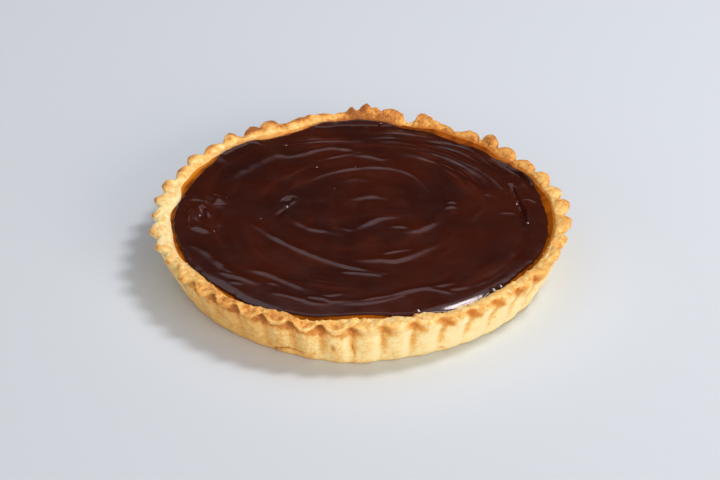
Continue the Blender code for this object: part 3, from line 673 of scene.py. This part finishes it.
def crust_relief(s):
    """How far the crust stands out in mm at each place: crumb, creases, lips, hollows and scoops. The last
    three are added to the shell's fields for its colour: the lips are painted paler as painted light, the
    hollows darker as painted shade, and the scoops browner"""
    rim, outside, row, height, past_notch = s.rim, s.outside, s.row, s.height_mm, s.past_notch
    knuckle, flat, hanging, bead, soft = s.knuckle, s.flat, s.hanging, s.bead, s.soft
    lumps, crumb = s.lumps, s.crumb
    relief = (0.20 + 0.5 * rim * hanging) * lumps
    relief += (0.10 + (0.20 - 0.08 * knuckle) * rim + 0.42 * rim * flat) * crumb
    relief += (0.06 + 0.06 * rim) * s.grain + 0.08 * s.streaks * outside * (1 - rim)
    crease = np.exp(-past_notch ** 2) * smooth((INNER_TOP - row) / (INNER_TOP - LIP))
    relief -= (0.8 * knuckle + 0.15 * bead) * rim * crease
    s.lip = flat * (1 - soft) * np.exp(-((row - LIP + 1 + 1.6 * crumb) / 1.7) ** 2)
    relief += 0.7 * s.lip * (0.5 + 0.7 * crumb + 0.6 * lumps)
    s.hollow = np.exp(-(past_notch / 2.2) ** 2 - ((height - HOLLOW_HEIGHT) / 1.5) ** 2)
    s.hollow = hanging * (1 - soft) * s.hollow * outside
    relief -= 1.3 * s.hollow
    under_bead = 0.35 + 0.65 * np.exp(-(past_notch / 2.4) ** 2)
    under_bead = np.exp(-((height - BEAD_HEIGHT) / 2.4) ** 2) * under_bead
    notch_bead = np.exp(-(past_notch / 2.0) ** 2 - ((height - NOTCH_HEIGHT) / 1.6) ** 2)
    relief += soft * outside * (under_bead - 0.25 * notch_bead)
    s.scoop = flat * (1 - soft) * smooth((row - LIP) / 4) * smooth((INNER_TOP - row) / 5)
    s.scoop = s.scoop * np.cos(s.across * math.pi) ** 2
    relief -= 0.6 * s.scoop
    inner_edge = np.exp(-((row - INNER_TOP) / 4.0) ** 2)
    relief += 0.35 * inner_edge * crumb * (1 - s.strength(SMOOTH_INSIDE))
    return relief + s.near(ROUGH_SIDE) * rim * (0.4 * lumps + 0.35 * crumb)


def cracks_and_pits(s, relief):
    """Presses cracks and pits into the relief, and says how toasted they are"""
    toasted = np.zeros_like(relief)
    seen = s.points[..., :2] / MM
    for (start, inner), (end, outer) in TOP_CRACKS:
        first = polar(np.array(start), inner, 0.0)[:2]
        last = polar(np.array(end), outer, 0.0)[:2]
        way = last - first
        share = np.clip((seen - first) @ way / (way @ way), 0, 1)
        away = np.linalg.norm(seen - first - share[..., None] * way, axis=2)
        shape = np.exp(-((away + 0.15 * s.crumb) / 0.4) ** 2) * s.rim * (s.height > WALL_TOP)
        relief -= 0.7 * shape
        toasted += 0.5 * shape
    for at, high, wide, tall, deep, brown in WALL_MARKS:
        away = ((s.angles[None, :] - at) * MM_PER_DEGREE / wide) ** 2 + ((s.height_mm - high) / tall) ** 2
        shape = np.exp(-away ** 1.5) * s.outside
        relief -= deep * shape
        toasted += brown * shape
    start, end, top = BASE_CRACK
    along = np.clip((s.angles - start) / (end - start), 0, 1)[None, :]
    crack_at = top * np.sqrt(np.minimum(1, 2.4 * along)) - 1.2 * along + 1.3 * s.streaks
    crack = np.exp(-((s.height_mm - crack_at) / 0.75) ** 2) * (along > 0)
    crack = crack * smooth((1 - along) / 0.2) * s.outside
    relief -= 0.8 * crack
    return toasted + 0.5 * crack


def wall_browning_and_shading(s):
    """How toasted the wall and the rim's outside are, with painted shade and light: the spots beside the
    notches, partly painted shade, the line of painted shade under the rim, and painted shade and light on the
    ribs
    """
    rim, outside, height, past_notch = s.rim, s.outside, s.height_mm, s.past_notch
    flat, hanging, soft, crumb = s.flat, s.hanging, s.soft, s.crumb
    toast_and_painted_shading = 0.30 + 0.08 * s.lumps + 0.08 * crumb + 0.04 * s.streaks * outside
    # painted light: the wall is paler on the side that the lights fall on
    toast_and_painted_shading -= 0.23 * s.near(PALE_WALL) * (1 - rim)
    toast_and_painted_shading += s.strength(GOLDEN_RIM) * smooth((s.row - UPPER_WALL) / (RIM_FOOT - UPPER_WALL))
    # the spots beside the notches are partly toasting and partly painted shade in the notch hollows
    past_spot = past_notch - (0.3 + 1.4 * soft)
    spot_height = SPOT_HEIGHT + 1.3 * flat * (1 - soft) + 1.3 * soft - (0.15 + 0.35 * soft) * past_spot
    spot_width = 2.4 + 2.2 * soft
    spot_tall = 1.9 + 0.5 * soft
    spot = np.exp(-(np.abs(past_spot) / spot_width) ** 2.2 - (np.abs(height - spot_height) / spot_tall) ** 2)
    spot_toast_and_shade = spot * outside * (0.3 + 0.7 * np.maximum(hanging, soft))
    toast_and_painted_shading += (0.66 - 0.10 * soft) * spot_toast_and_shade * (1 + 0.35 * crumb)
    # painted shade in a line under the hanging lobes and in the hollows under them
    under_rim_shade = np.exp(-((height - SHADED_HEIGHT + crumb) / 1.9) ** 2) * outside
    toast_and_painted_shading += (0.40 - 0.22 * soft) * under_rim_shade * hanging + 0.30 * s.hollow
    # painted shade in the wall's valleys and painted light on the cream ribs beside them, as light from the
    # right falls on them
    ribbed = s.near(RIBBED_WALL)
    valley = np.exp(-((past_notch - 1.1 * ribbed) / 2.0) ** 2) * outside * (1 - rim)
    toast_and_painted_shading += (0.14 + 0.32 * ribbed) * valley * smooth(height / 16)
    cream = np.exp(-((past_notch + 2.4) / 1.7) ** 2) * outside * (1 - rim)
    toast_and_painted_shading -= 0.28 * ribbed * cream
    return toast_and_painted_shading, spot_toast_and_shade, under_rim_shade


def crust_browning_and_shading(s, above):
    """How toasted each place of the crust is, with painted shade and light worked in, and how much caramel
    soaked into it or is painted on as orange shade, with the height over the caramel's film in mm given"""
    rim, outside, row, flat, soft = s.rim, s.outside, s.row, s.flat, s.soft
    lumps, crumb = s.lumps, s.crumb
    toast_and_painted_shading, spot_toast_and_shade, under_rim_shade = wall_browning_and_shading(s)
    toast_and_painted_shading += rim * s.top_face * (0.10 + 0.04 * flat + 0.14 * crumb) + 0.24 * s.scoop
    tips = np.exp(-(s.across / 0.17) ** 2) * np.exp(-((row - LIP + 2) / 5.5) ** 2)
    toast_and_painted_shading += (0.20 + 0.55 * s.near(BROWN_TIPS)) * tips * (1 - flat)
    toast_and_painted_shading += 0.50 * s.near(BROWN_HILLS) * np.exp(-((row - CREST) / 4.5) ** 2) * (1 + lumps)
    # painted light: the raised lips are paler
    toast_and_painted_shading -= 0.18 * s.lip * (1 + lumps)
    pale_inside, golden_inside = s.near(PALE_INSIDE), s.near(GOLDEN_INSIDE)
    # painted light: the inner face is paler on the left, which faces the lights
    inside = 0.10 + 0.10 * golden_inside + 0.14 * s.near(BACK_INSIDE) - 0.26 * pale_inside
    toast_and_painted_shading += inside * smooth((row - INNER_TOP) / 6)
    toast_and_painted_shading += 0.16 * s.near(GOLDEN_WALL) * outside * (1 - rim)
    soaked = np.exp(-(above / (0.9 + 0.5 * golden_inside + 0.5 * crumb)) ** 2) * s.inner_face
    toast_and_painted_shading += 0.10 * soaked
    # caramel soaked into the crust, and orange in the spots beside the notches, which is partly painted shade
    amber = soaked * (1 - 0.85 * pale_inside) * (1 - s.near((BREAK, 6))) + 0.85 * soft * spot_toast_and_shade
    # painted orange shade under the hanging lobes
    amber += 0.40 * (1 - soft) * s.hanging * under_rim_shade
    toast_and_painted_shading += 0.22 * np.exp(-((s.height_mm - 0.6 * crumb) / 1.4) ** 2) * outside
    return toast_and_painted_shading, amber


def shell_mesh():
    """The baked shell: its section all round, then crumb, cracks and pits pressed into it.
    It also says how toasted each place is, with painted shade and light worked in"""
    s = shell_fields()
    relief = crust_relief(s)
    toasted_marks = cracks_and_pits(s, relief)
    pleats = np.cos(2 * math.pi * np.radians(s.angles) * RIM_RADIUS / PLEAT_PITCH)[None, :]
    relief += 0.16 * s.near(PLEATED_INSIDE) * pleats * smooth((s.row - CREST) / 4)
    # the caramel's film smooths the crumb that it covers, and the base stands flat
    film = np.interp(s.angles, *caramel_line())[None, :]
    relief *= 1 - 0.85 * smooth((film - s.height) / MM + 0.7) * s.inner_face
    relief *= smooth(s.height / (1.2 * MM))
    points = s.points + vertex_normals(s.points) * (relief * MM)[..., None]
    points[..., 2] = np.maximum(points[..., 2], 0.0)
    points[0, :, 2] = 0.0
    toast_and_painted_shading, amber = crust_browning_and_shading(s, np.maximum(0, (points[..., 2] - film) / MM))
    toast_and_painted_shading = np.minimum(toast_and_painted_shading + toasted_marks, 1 - 0.12 * s.soft)
    mesh = ring_mesh("crust_shell", points)
    write_field(mesh, "toast_and_painted_shading", np.clip(toast_and_painted_shading, 0, 1))
    write_field(mesh, "amber", np.clip(amber, 0, 1))
    return mesh


def filling_lines(count):
    """Lines round the filling, one value for each of count angles: the ganache's edge radius
    and height, the height under its thin edge, and where the caramel's film ends on the crust"""
    angles = np.arange(count) * 360 / count
    found = []
    for angle in angles:
        rows = shell_section(flute_at(angle))[1]
        edge_height = GANACHE_EDGE + humps(angle, GANACHE_PLACES, 3) + EDGE_STRAY * crest_stray(angle)
        lip = min(edge_height, GANACHE_EDGE + LIP_ABOVE) - EDGE_THICKNESS + humps(angle, THIN_EDGES)
        lip -= ROLLED_UNDER * rolled_edge(angle)[1]
        touch = inner_radius(rows, min(lip, edge_height - EDGE_THICKNESS)) + 0.15 * MM
        edge = min(touch, GANACHE_RADIUS + humps(angle, GANACHE_PLACES) + wall_stray(angle))
        band = touch - edge
        climb = CLIMB * smooth(band / FULL_BAND) * (1 - hump(angle, BREAK, BREAK_CLEARANCE))
        climb += film_waves(angle)
        film = lip + max(0.2 * MM, climb + humps(angle, FILM_PLACES))
        film = min(film, rows[-4][1] + 0.6 * MM)
        found.append((edge, edge_height, lip, film, inner_radius(rows, film) + 0.12 * MM))
    lines = np.array(found).T
    reach = count // EDGE_EVENNESS
    lines[0] = np.mean([np.roll(lines[0], shift) for shift in range(-reach, reach + 1)], axis=0)
    return angles, lines


def caramel_line():
    """Angles round the tart, and the height to which the caramel's film climbs there"""
    angles, (_, _, _, film, _) = filling_lines(720)
    return np.append(angles, 360), np.append(film, film[0])


def caramel_mesh():
    """Caramel poured into the shell. It meets the crust in a thin film that curves up"""
    angles, (edge, _, lip, film, film_radius) = filling_lines(720)
    rows = [(FLOOR_RADIUS + 0 * edge, SHELL_FLOOR + 0.1 * MM + 0 * edge)]
    rows.append((film_radius - 4.5 * MM, SHELL_FLOOR + 6 * MM + 0 * edge))
    rows.append((film_radius, film - 0.5 * MM))
    start = np.minimum(edge - TUCK, film_radius - 1.0 * MM)
    power = 2.2 - np.array([humps(a, FULL_FILM) for a in angles])
    for k in range(9):
        t = k / 8
        curve = (1 - t) ** power
        rows.append((film_radius + (start - film_radius) * t, lip + (film - lip) * curve))
    rows.append((edge - SHOULDER, lip - 0.4 * MM))
    rows.append((edge - SLOPE, CARAMEL_TOP + 0 * edge))
    points = np.stack([polar(angles, radius, height) for radius, height in rows])
    mesh = ring_mesh("caramel_layer", points)
    thin = np.zeros((len(rows), len(angles)))
    thin[2:7] = np.array([hump(a, *THIN_FILM) for a in angles]) * np.linspace(1, 0.5, 5)[:, None]
    write_field(mesh, "thin", thin)
    return mesh


def stroke_path(places):
    """Evenly stepped points on a smooth line through the places of a stroke, in metres, with
    the way it runs there and its strength, which fades at both ends"""
    knots = np.array(places, float) * MM
    knots = np.vstack([2 * knots[0] - knots[1], knots, 2 * knots[-1] - knots[-2]])
    line = []
    for k in range(1, len(knots) - 2):
        p0, p1, p2, p3 = knots[k - 1:k + 3]
        count = max(2, int(np.linalg.norm(p2 - p1) / (0.6 * MM)))
        for t in np.arange(count) / count:
            line.append(0.5 * ((2 * p1) + (p2 - p0) * t + (2 * p0 - 5 * p1 + 4 * p2 - p3) * t * t
                               + (3 * p1 - p0 - 3 * p2 + p3) * t ** 3))
    line.append(knots[-2])
    line = np.array(line)
    way = np.gradient(line, axis=0)
    way /= np.linalg.norm(way, axis=1, keepdims=True)
    share = np.linspace(0, 1, len(line))
    strength = np.sin(np.pi * (0.04 + 0.92 * share)) ** 0.7
    return line, way, strength


def stroke_heights(x, y):
    """Height that the spatula's strokes add at places on the ganache"""
    height = np.zeros_like(x)
    for places, left, right, rise in STROKES:
        line, way, strength = stroke_path(places)
        reach = 3 * max(left, right) * MM
        near = (x > line[:, 0].min() - reach) & (x < line[:, 0].max() + reach)
        near &= (y > line[:, 1].min() - reach) & (y < line[:, 1].max() + reach)
        spots = np.where(near)[0]
        for part in np.array_split(spots, max(1, len(spots) // 4000)):
            dx = x[part][:, None] - line[None, :, 0]
            dy = y[part][:, None] - line[None, :, 1]
            away = dx * dx + dy * dy
            best = away.argmin(axis=1)
            pick = np.arange(len(part))
            side = way[best, 0] * dy[pick, best] - way[best, 1] * dx[pick, best]
            width = np.where(side > 0, left, right) * MM
            height[part] += rise * MM * strength[best] * np.exp(-away[pick, best] / width ** 2)
    return height


def disc_grid(count):
    """A square grid of places bent into a disc: for each, its share of the way to the edge and
    its angle in degrees"""
    line = np.linspace(-1, 1, count + 1)
    a, b = np.meshgrid(line, line)
    wide = np.abs(a) > np.abs(b)
    share = np.where(wide, np.abs(a), np.abs(b))
    safe_a = np.where(np.abs(a) < 1e-12, 1e-12, a)
    safe_b = np.where(np.abs(b) < 1e-12, 1e-12, b)
    turn = np.where(wide, np.pi / 4 * b / safe_a, np.pi / 2 - np.pi / 4 * a / safe_b)
    turn = np.where(wide & (a < 0), turn + np.pi, turn)
    turn = np.where(~wide & (b < 0), turn + np.pi, turn)
    return share, np.degrees(turn) % 360


def ganache_top(share, angle, edge, top, round_angles):
    """The points of the ganache's skin and how far it is ragged there, with what its finish
    reads: how warm its brown is, and where and how strongly the spatula combed it"""
    radius = (edge - EDGE_ROUND) * share
    turn = np.radians(angle)
    x, y = radius * np.cos(turn), radius * np.sin(turn)
    inset = edge - radius
    climb = top - GANACHE_MIDDLE
    reach = LEVEL_REACH + (climb / CLIMB_SLOPE - LEVEL_REACH) * smooth(climb / MM)
    level = GANACHE_MIDDLE + climb * np.clip(1 - inset / reach, 0, 1) ** CLIMB_POWER
    roll_width, roll_drop = rolled_edge(angle)
    roll = roll_drop * np.clip(1 - inset / (roll_width + EDGE_ROUND), 0, 1) ** ROLL_POWER
    patchy = 0.9 + 0.5 * noise_at(np.stack([x, y, 0 * x], axis=1), 9 * MM, 8, 2)
    z = level + stroke_heights(x, y) * patchy * smooth(inset / SWIRL_REACH) - roll
    swept = np.stack([radius / COMB_PITCH, turn * 90 * MM / COMB_LENGTH, 0 * x], axis=1)
    strands = noise_at(swept, 1.0, 9, 2)
    combed = np.array([humps(a, COMBED) for a in round_angles])
    combed = np.interp(angle, round_angles, combed) * smooth((share - 0.62) / 0.1)
    combed = combed * smooth((0.97 - share) / 0.06)
    z += COMB_DEPTH * combed * strands
    warm = 0.24 + 0.36 * noise_at(np.stack([radius / (7 * MM), turn * 1.6, 0 * x], axis=1), 1.0, 10, 3)
    sweep = np.stack([radius / MM, turn * 90 / 24, combed], axis=1)
    waves = np.array([edge_waves(a) * (1 - 0.8 * hump(a, *CALM_EDGE)) for a in round_angles])
    ragged = np.interp(angle, round_angles, waves) * share ** 40
    x = x + ragged * np.cos(turn)
    y = y + ragged * np.sin(turn)
    places = np.stack([x, y, 0 * x], axis=1)
    z += 0.10 * MM * noise_at(places, 26 * MM, 5, 2) + 0.012 * MM * noise_at(places, 3 * MM, 6, 2)
    return np.stack([x, y, z], axis=1), ragged, warm, sweep


def ganache_mesh():
    """Ganache spread over the caramel: a fine skin with the spatula's strokes in it, rolled
    over at its edge and closed underneath"""
    line_angles, lines = filling_lines(1440)
    round_angles = np.append(line_angles, 360)
    edge_line, top_line, lip_line = (np.append(line, line[0]) for line in lines[:3])
    share, angle = (values.ravel() for values in disc_grid(GANACHE_GRID))
    edge = np.interp(angle, round_angles, edge_line)
    top = np.interp(angle, round_angles, top_line)
    points, ragged, warm, sweep = ganache_top(share, angle, edge, top, round_angles)

    side = GANACHE_GRID + 1
    index = np.arange(side * side).reshape(side, side)
    quads = np.stack([index[:-1, :-1], index[:-1, 1:], index[1:, 1:], index[1:, :-1]], axis=-1).reshape(-1, 4)
    border = np.concatenate([index[0, :-1], index[:-1, -1], index[-1, :0:-1], index[:0:-1, 0]])
    border_edge, border_top = edge[border] + ragged[border], points[border, 2]
    border_lip = np.interp(angle[border], round_angles, lip_line)
    depth = np.minimum(border_top - border_lip, EDGE_THICKNESS)
    skirt = []
    for k in range(1, 6):
        bend = math.pi / 2 * k / 5
        skirt.append((border_edge - EDGE_ROUND * (1 - math.sin(bend)),
                      border_top - 0.7 * depth * (1 - math.cos(bend))))
    skirt.append((border_edge - TUCK, border_top - depth))
    skirt.append((border_edge - SHOULDER, border_lip - 0.1 * MM))
    skirt.append((border_edge - SLOPE, CARAMEL_TOP + 0.3 * MM + 0 * border_edge))
    everything = np.vstack([points] + [polar(angle[border], radius, height) for radius, height in skirt])
    faces = quads.tolist()
    previous = border
    ring = len(border)
    for number in range(len(skirt)):
        current = len(points) + number * ring + np.arange(ring)
        faces += np.stack([previous, current, np.roll(current, -1), np.roll(previous, -1)], axis=1).tolist()
        previous = current
    faces.append(list(reversed(previous.tolist())))
    mesh = mesh_of("ganache_skin", everything, faces)
    under = len(everything) - len(points)
    write_field(mesh, "warmth", np.append(np.clip(warm, 0, 1), np.zeros(under)))
    write_field(mesh, "sweep", np.vstack([sweep, np.zeros((under, 3))]), "FLOAT_VECTOR")
    return mesh, points


def blister_mesh(skin):
    """Small blunt cones with one broad flank, where blisters rise from the skin"""
    x, y, z = skin.T
    points, faces = [], []
    around = 28
    # the profile from foot to top: share of the half width, share of the height
    profile = ((1.25, -0.25), (1.0, 0.0), (0.75, 0.25), (0.5, 0.5), (0.3, 0.68), (0.12, 0.76))
    lean = math.radians(BLISTER_LEAN)
    for bx, by, size in BLISTERS:
        nearest = ((x - bx * MM) ** 2 + (y - by * MM) ** 2).argmin()
        tall = size * BLISTER_SLOPE * MM
        foot = z[nearest] - 0.05 * MM
        start = len(points)
        for share, rise in profile:
            for k in range(around):
                turn = 2 * math.pi * k / around
                out = size * MM * share * math.cos(turn)
                side = size * MM * share * 1.5 * math.sin(turn)
                points.append((bx * MM + out * math.cos(lean) - side * math.sin(lean),
                               by * MM + out * math.sin(lean) + side * math.cos(lean), foot + tall * rise))
        points.append((bx * MM, by * MM, foot + 0.8 * tall))
        for ring in range(len(profile) - 1):
            for k in range(around):
                after = (k + 1) % around
                low, high = start + ring * around, start + (ring + 1) * around
                faces.append((low + k, low + after, high + after, high + k))
        last = start + (len(profile) - 1) * around
        faces += [(last + k, last + (k + 1) % around, len(points) - 1) for k in range(around)]
        faces.append(tuple(reversed(range(start, start + around))))
    return mesh_of("ganache_blisters", points, faces)


def crumb_mesh():
    """Crumbs of crust along the rim's inner edge"""
    chance = random.Random(23)
    spots = []
    for _ in range(CRUMBS):
        angle = chance.uniform(*CRUMB_SPAN)
        rows = shell_section(flute_at(angle))[1]
        radius, height = rows[-4]
        radius += chance.uniform(*CRUMB_SCATTER) * MM
        spots.append((angle, radius, height + 0.2 * MM, chance.uniform(*CRUMB_RADII)))
    points, faces = [], []
    ball = bpy.data.meshes.new("crumb pattern")
    shape = bmesh.new()
    bmesh.ops.create_icosphere(shape, subdivisions=2, radius=1.0)
    shape.to_mesh(ball)
    shape.free()
    corners = [v.co.copy() for v in ball.vertices]
    sides = [tuple(p.vertices) for p in ball.polygons]
    for number, (angle, radius, height, size) in enumerate(spots):
        turn = math.radians(angle)
        centre = Vector((radius * math.cos(turn), radius * math.sin(turn), height))
        start = len(points)
        shift = Vector((number * 1.7, number * 0.9, 3.1))
        flatten = Vector((chance.uniform(0.8, 1.3), chance.uniform(0.8, 1.3), chance.uniform(0.6, 0.9)))
        for corner in corners:
            bulge = 1 + 0.45 * noise.noise(corner * 1.3 + shift)
            points.append(tuple(centre + corner * flatten * bulge * size * MM))
        faces += [tuple(start + k for k in side) for side in sides]
    bpy.data.meshes.remove(ball)
    mesh = mesh_of("crust_crumbs", points, faces)
    write_field(mesh, "toast_and_painted_shading", np.full(len(points), CRUMB_TOAST))
    return mesh


def new_finish(name, everywhere):
    """A new material with its node tree and shader, and the values that it has everywhere"""
    made = bpy.data.materials.new(name)
    made.use_nodes = True
    shader = made.node_tree.nodes["Principled BSDF"]
    for socket, value in everywhere.items():
        shader.inputs[socket].default_value = value
    return made, made.node_tree, shader


def shortcrust():
    """Baked butter shortcrust: matt and sandy, pale gold where the tin held it and toasted orange to brown on
    its top and its tips, with painted shade in the hollows under the rim and painted light on its lit side"""
    made, tree, shader = new_finish("baked shortcrust", {
        "Roughness": 0.75, "IOR": 1.45, "Subsurface Weight": 0.12,
        "Subsurface Radius": (1.0, 0.45, 0.15), "Subsurface Scale": 1.0 * MM})
    place = add(tree, "TexCoord").outputs["Object"]
    # how toasted each place is, with painted shade and light worked in
    toast_and_painted_shading = add(tree, "Attribute", attribute_name="toast_and_painted_shading").outputs["Fac"]
    # patches of 4 mm where the dough browned unevenly, and sandy specks of 0.8 mm
    patches = add(tree, "TexNoise", {"Vector": place, "Scale": 1 / (4 * MM), "Detail": 4.0, "Roughness": 0.6})
    specks = add(tree, "TexNoise", {"Vector": place, "Scale": 1 / (0.8 * MM), "Detail": 2.0,
                                    "Roughness": 0.6})
    uneven = add(tree, "MapRange", {"Value": patches.outputs["Fac"], "From Min": 0.3, "From Max": 0.7,
                                    "To Min": -0.10, "To Max": 0.10})
    sandy = add(tree, "MapRange", {"Value": specks.outputs["Fac"], "From Min": 0.3, "From Max": 0.7,
                                   "To Min": -0.13, "To Max": 0.13})
    first = add(tree, "Math", {0: toast_and_painted_shading, 1: uneven.outputs[0]}, operation="ADD")
    depth = add(tree, "Math", {0: first.outputs[0], 1: sandy.outputs[0]}, operation="ADD", use_clamp=True)
    browning = add(tree, "ValToRGB", {0: depth.outputs[0]})
    stops = browning.color_ramp.elements
    stops[0].position, stops[0].color = 0.0, linear("F8E6B4")
    stops[1].position, stops[1].color = 1.0, linear("955822")
    for share, colour in BROWNING:
        stop = stops.new(share)
        stop.color = linear(colour)
    # caramel that soaked into the crumb, and painted orange shade under the hanging lobes and in the spots
    # beside the notches
    amber = add(tree, "Attribute", attribute_name="amber").outputs["Fac"]
    share = add(tree, "Math", {0: amber, 1: 0.75}, operation="MULTIPLY")
    crust = add(tree, "Mix", {0: share.outputs[0], 6: browning.outputs[0], 7: linear("C8741A")},
                data_type="RGBA")
    tree.links.new(crust.outputs[2], shader.inputs["Base Color"])
    # sandy grain, real grains being 0.3 to 0.8 mm
    grain = add(tree, "TexNoise", {"Vector": place, "Scale": 1 / (0.7 * MM), "Detail": 3.0, "Roughness": 0.6})
    bump = add(tree, "Bump", {"Height": grain.outputs["Fac"], "Strength": 0.8, "Distance": 0.28 * MM})
    tree.links.new(bump.outputs[0], shader.inputs["Normal"])
    return made


def caramel():
    """Soft salted caramel, boiled to amber: glossy, and light goes a little way into it"""
    made, tree, shader = new_finish("boiled caramel", {
        "Roughness": 0.3, "IOR": 1.49, "Specular IOR Level": 0.05, "Subsurface Weight": 0.3,
        "Subsurface Radius": (1.0, 0.45, 0.1), "Subsurface Scale": 1.5 * MM})
    place = add(tree, "TexCoord").outputs["Object"]
    # thinner and deeper places of the film, 6 mm apart
    depth = add(tree, "TexNoise", {"Vector": place, "Scale": 1 / (6 * MM), "Detail": 3.0})
    blend = add(tree, "MapRange", {"Value": depth.outputs["Fac"], "From Min": 0.35, "From Max": 0.65})
    colour = add(tree, "Mix", {0: blend.outputs[0], 6: linear("A85808"), 7: linear("783602")},
                 data_type="RGBA")
    # a thin film lets the pale crust behind it through
    thin = add(tree, "Attribute", attribute_name="thin").outputs["Fac"]
    lit = add(tree, "Mix", {0: thin, 6: colour.outputs[2], 7: linear("DC8C20")}, data_type="RGBA")
    tree.links.new(lit.outputs[2], shader.inputs["Base Color"])
    return made


def ganache():
    """Dark chocolate ganache, spread warm with a spatula and set: a glossy, nearly black
    brown skin that is satin where the fat has begun to set"""
    # a film of cocoa butter tints what the skin mirrors
    made, tree, shader = new_finish("set chocolate ganache", {
        "IOR": 1.5, "Specular Tint": linear("F4EAF0")})
    place = add(tree, "TexCoord").outputs["Object"]
    # warmer brown where the skin was smeared thin, and redder sweeps 30 mm across
    sweeps = add(tree, "TexNoise", {"Vector": place, "Scale": 1 / (30 * MM), "Detail": 2.0})
    blend = add(tree, "MapRange", {"Value": sweeps.outputs["Fac"], "From Min": 0.35, "From Max": 0.65})
    deep = add(tree, "Mix", {0: blend.outputs[0], 6: linear("2D0E07"), 7: linear("3C1305")}, data_type="RGBA")
    warmth = add(tree, "Attribute", attribute_name="warmth").outputs["Fac"]
    smeared = add(tree, "MapRange", {"Value": warmth, "From Min": 0.3, "From Max": 1.0})
    colour = add(tree, "Mix", {0: smeared.outputs[0], 6: deep.outputs[2], 7: linear("55210F")},
                 data_type="RGBA")
    # strands of 1 mm, 24 mm long, that the spatula drew along the edge: radius, way round, strength
    sweep = add(tree, "Attribute", attribute_name="sweep").outputs["Vector"]
    combed = add(tree, "SeparateXYZ", {0: sweep}).outputs["Z"]
    strands = add(tree, "TexNoise", {"Vector": sweep, "Scale": 0.9, "Detail": 2.0})
    ridge = add(tree, "MapRange", {"Value": strands.outputs["Fac"], "From Min": 0.54, "From Max": 0.72})
    drawn = add(tree, "Math", {0: ridge.outputs[0], 1: combed}, operation="MULTIPLY")
    skin = add(tree, "Mix", {0: drawn.outputs[0], 6: colour.outputs[2], 7: linear("602C1A")},
               data_type="RGBA")
    tree.links.new(skin.outputs[2], shader.inputs["Base Color"])
    # satin patches of 9 mm
    satin = add(tree, "TexNoise", {"Vector": place, "Scale": 1 / (9 * MM), "Detail": 4.0})
    rough = add(tree, "MapRange", {"Value": satin.outputs["Fac"], "From Min": 0.3, "From Max": 0.7,
                                   "To Min": 0.15, "To Max": 0.24})
    tree.links.new(rough.outputs[0], shader.inputs["Roughness"])
    return made


def area_light(name, place, width, height, power, colour):
    """A rectangle of light that faces the tart"""
    lamp = bpy.data.lights.new(name, "AREA")
    lamp.shape = "RECTANGLE"
    lamp.size, lamp.size_y = width, height
    lamp.energy = power
    lamp.color = linear(colour)[:3]
    made = bpy.data.objects.new(name, lamp)
    made.location = place
    made.rotation_euler = (-Vector(place)).to_track_quat("-Z", "Y").to_euler()
    bpy.context.scene.collection.objects.link(made)


def soft_room():
    """A dim room with one long window high behind the tart. Level ganache mirrors the wall
    under the window, gentle slopes catch the window, and steep ones the ceiling over it"""
    world = bpy.data.worlds.new("soft room")
    bpy.context.scene.world = world
    world.use_nodes = True
    tree = world.node_tree
    way = add(tree, "TexCoord").outputs["Generated"]
    parts = add(tree, "SeparateXYZ", {0: way})
    high, back = parts.outputs["Z"], parts.outputs["Y"]
    # soft edges in the room: the direction they run across, and where each begins and ends
    sill, head, behind, front, low = (
        add(tree, "MapRange", {"Value": along, "From Min": begins, "From Max": ends},
            interpolation_type="SMOOTHSTEP").outputs[0]
        for along, begins, ends in ((high, 0.61, 0.72), (high, 0.97, 0.90), (back, -0.15, 0.1),
                                    (back, -0.10, -0.35), (high, 0.85, 0.70)))
    opening = add(tree, "Math", {0: sill, 1: head}, operation="MULTIPLY")
    window = add(tree, "Math", {0: opening.outputs[0], 1: behind}, operation="MULTIPLY")
    facing = add(tree, "Math", {0: front, 1: low}, operation="MULTIPLY")
    # the dim room from floor to ceiling, then the bright wall in front and the window behind
    room = add(tree, "Mix", {0: sill, 6: linear("2A2728"), 7: linear("6A6668")}, data_type="RGBA")
    for share, colour in ((facing, "F8F4EE"), (window, "FAF8FF")):
        room = add(tree, "Mix", {0: share.outputs[0], 6: room.outputs[2], 7: linear(colour)},
                   data_type="RGBA")
    background = tree.nodes["Background"]
    tree.links.new(room.outputs[2], background.inputs["Color"])
    background.inputs["Strength"].default_value = ROOM_BRIGHTNESS


def pale_floor():
    """Matt paper under the tart"""
    half = FLOOR_HALF
    corners = [(-half, -half, 0), (half, -half, 0), (half, half, 0), (-half, half, 0)]
    mesh = bpy.data.meshes.new("floor")
    mesh.from_pydata(corners, [], [(0, 1, 2, 3)])
    paper, _, _ = new_finish("matt paper", {"Base Color": linear("CDD6E0"), "Roughness": 0.9})
    mesh.materials.append(paper)
    floor = bpy.data.objects.new("floor", mesh)
    bpy.context.scene.collection.objects.link(floor)


def camera():
    lens = bpy.data.cameras.new("camera")
    lens.sensor_width = SENSOR
    lens.lens = LENS
    made = bpy.data.objects.new("camera", lens)
    made.location = CAMERA_PLACE
    made.rotation_euler = (math.radians(CAMERA_TILT), 0, 0)
    bpy.context.scene.collection.objects.link(made)
    bpy.context.scene.camera = made


baked_crust = shortcrust()
dark_chocolate = ganache()
piece("crust_shell", shell_mesh(), baked_crust, "crust")
piece("caramel_layer", caramel_mesh(), caramel(), "caramel")
skin_mesh, skin = ganache_mesh()
piece("ganache_skin", skin_mesh, dark_chocolate, "ganache")
piece("ganache_blisters", blister_mesh(skin), dark_chocolate, None)
piece("crust_crumbs", crumb_mesh(), baked_crust, None)

soft_room()
pale_floor()
for light in LIGHTS:
    area_light(*light)
camera()
bpy.context.scene.view_settings.view_transform = "Standard"
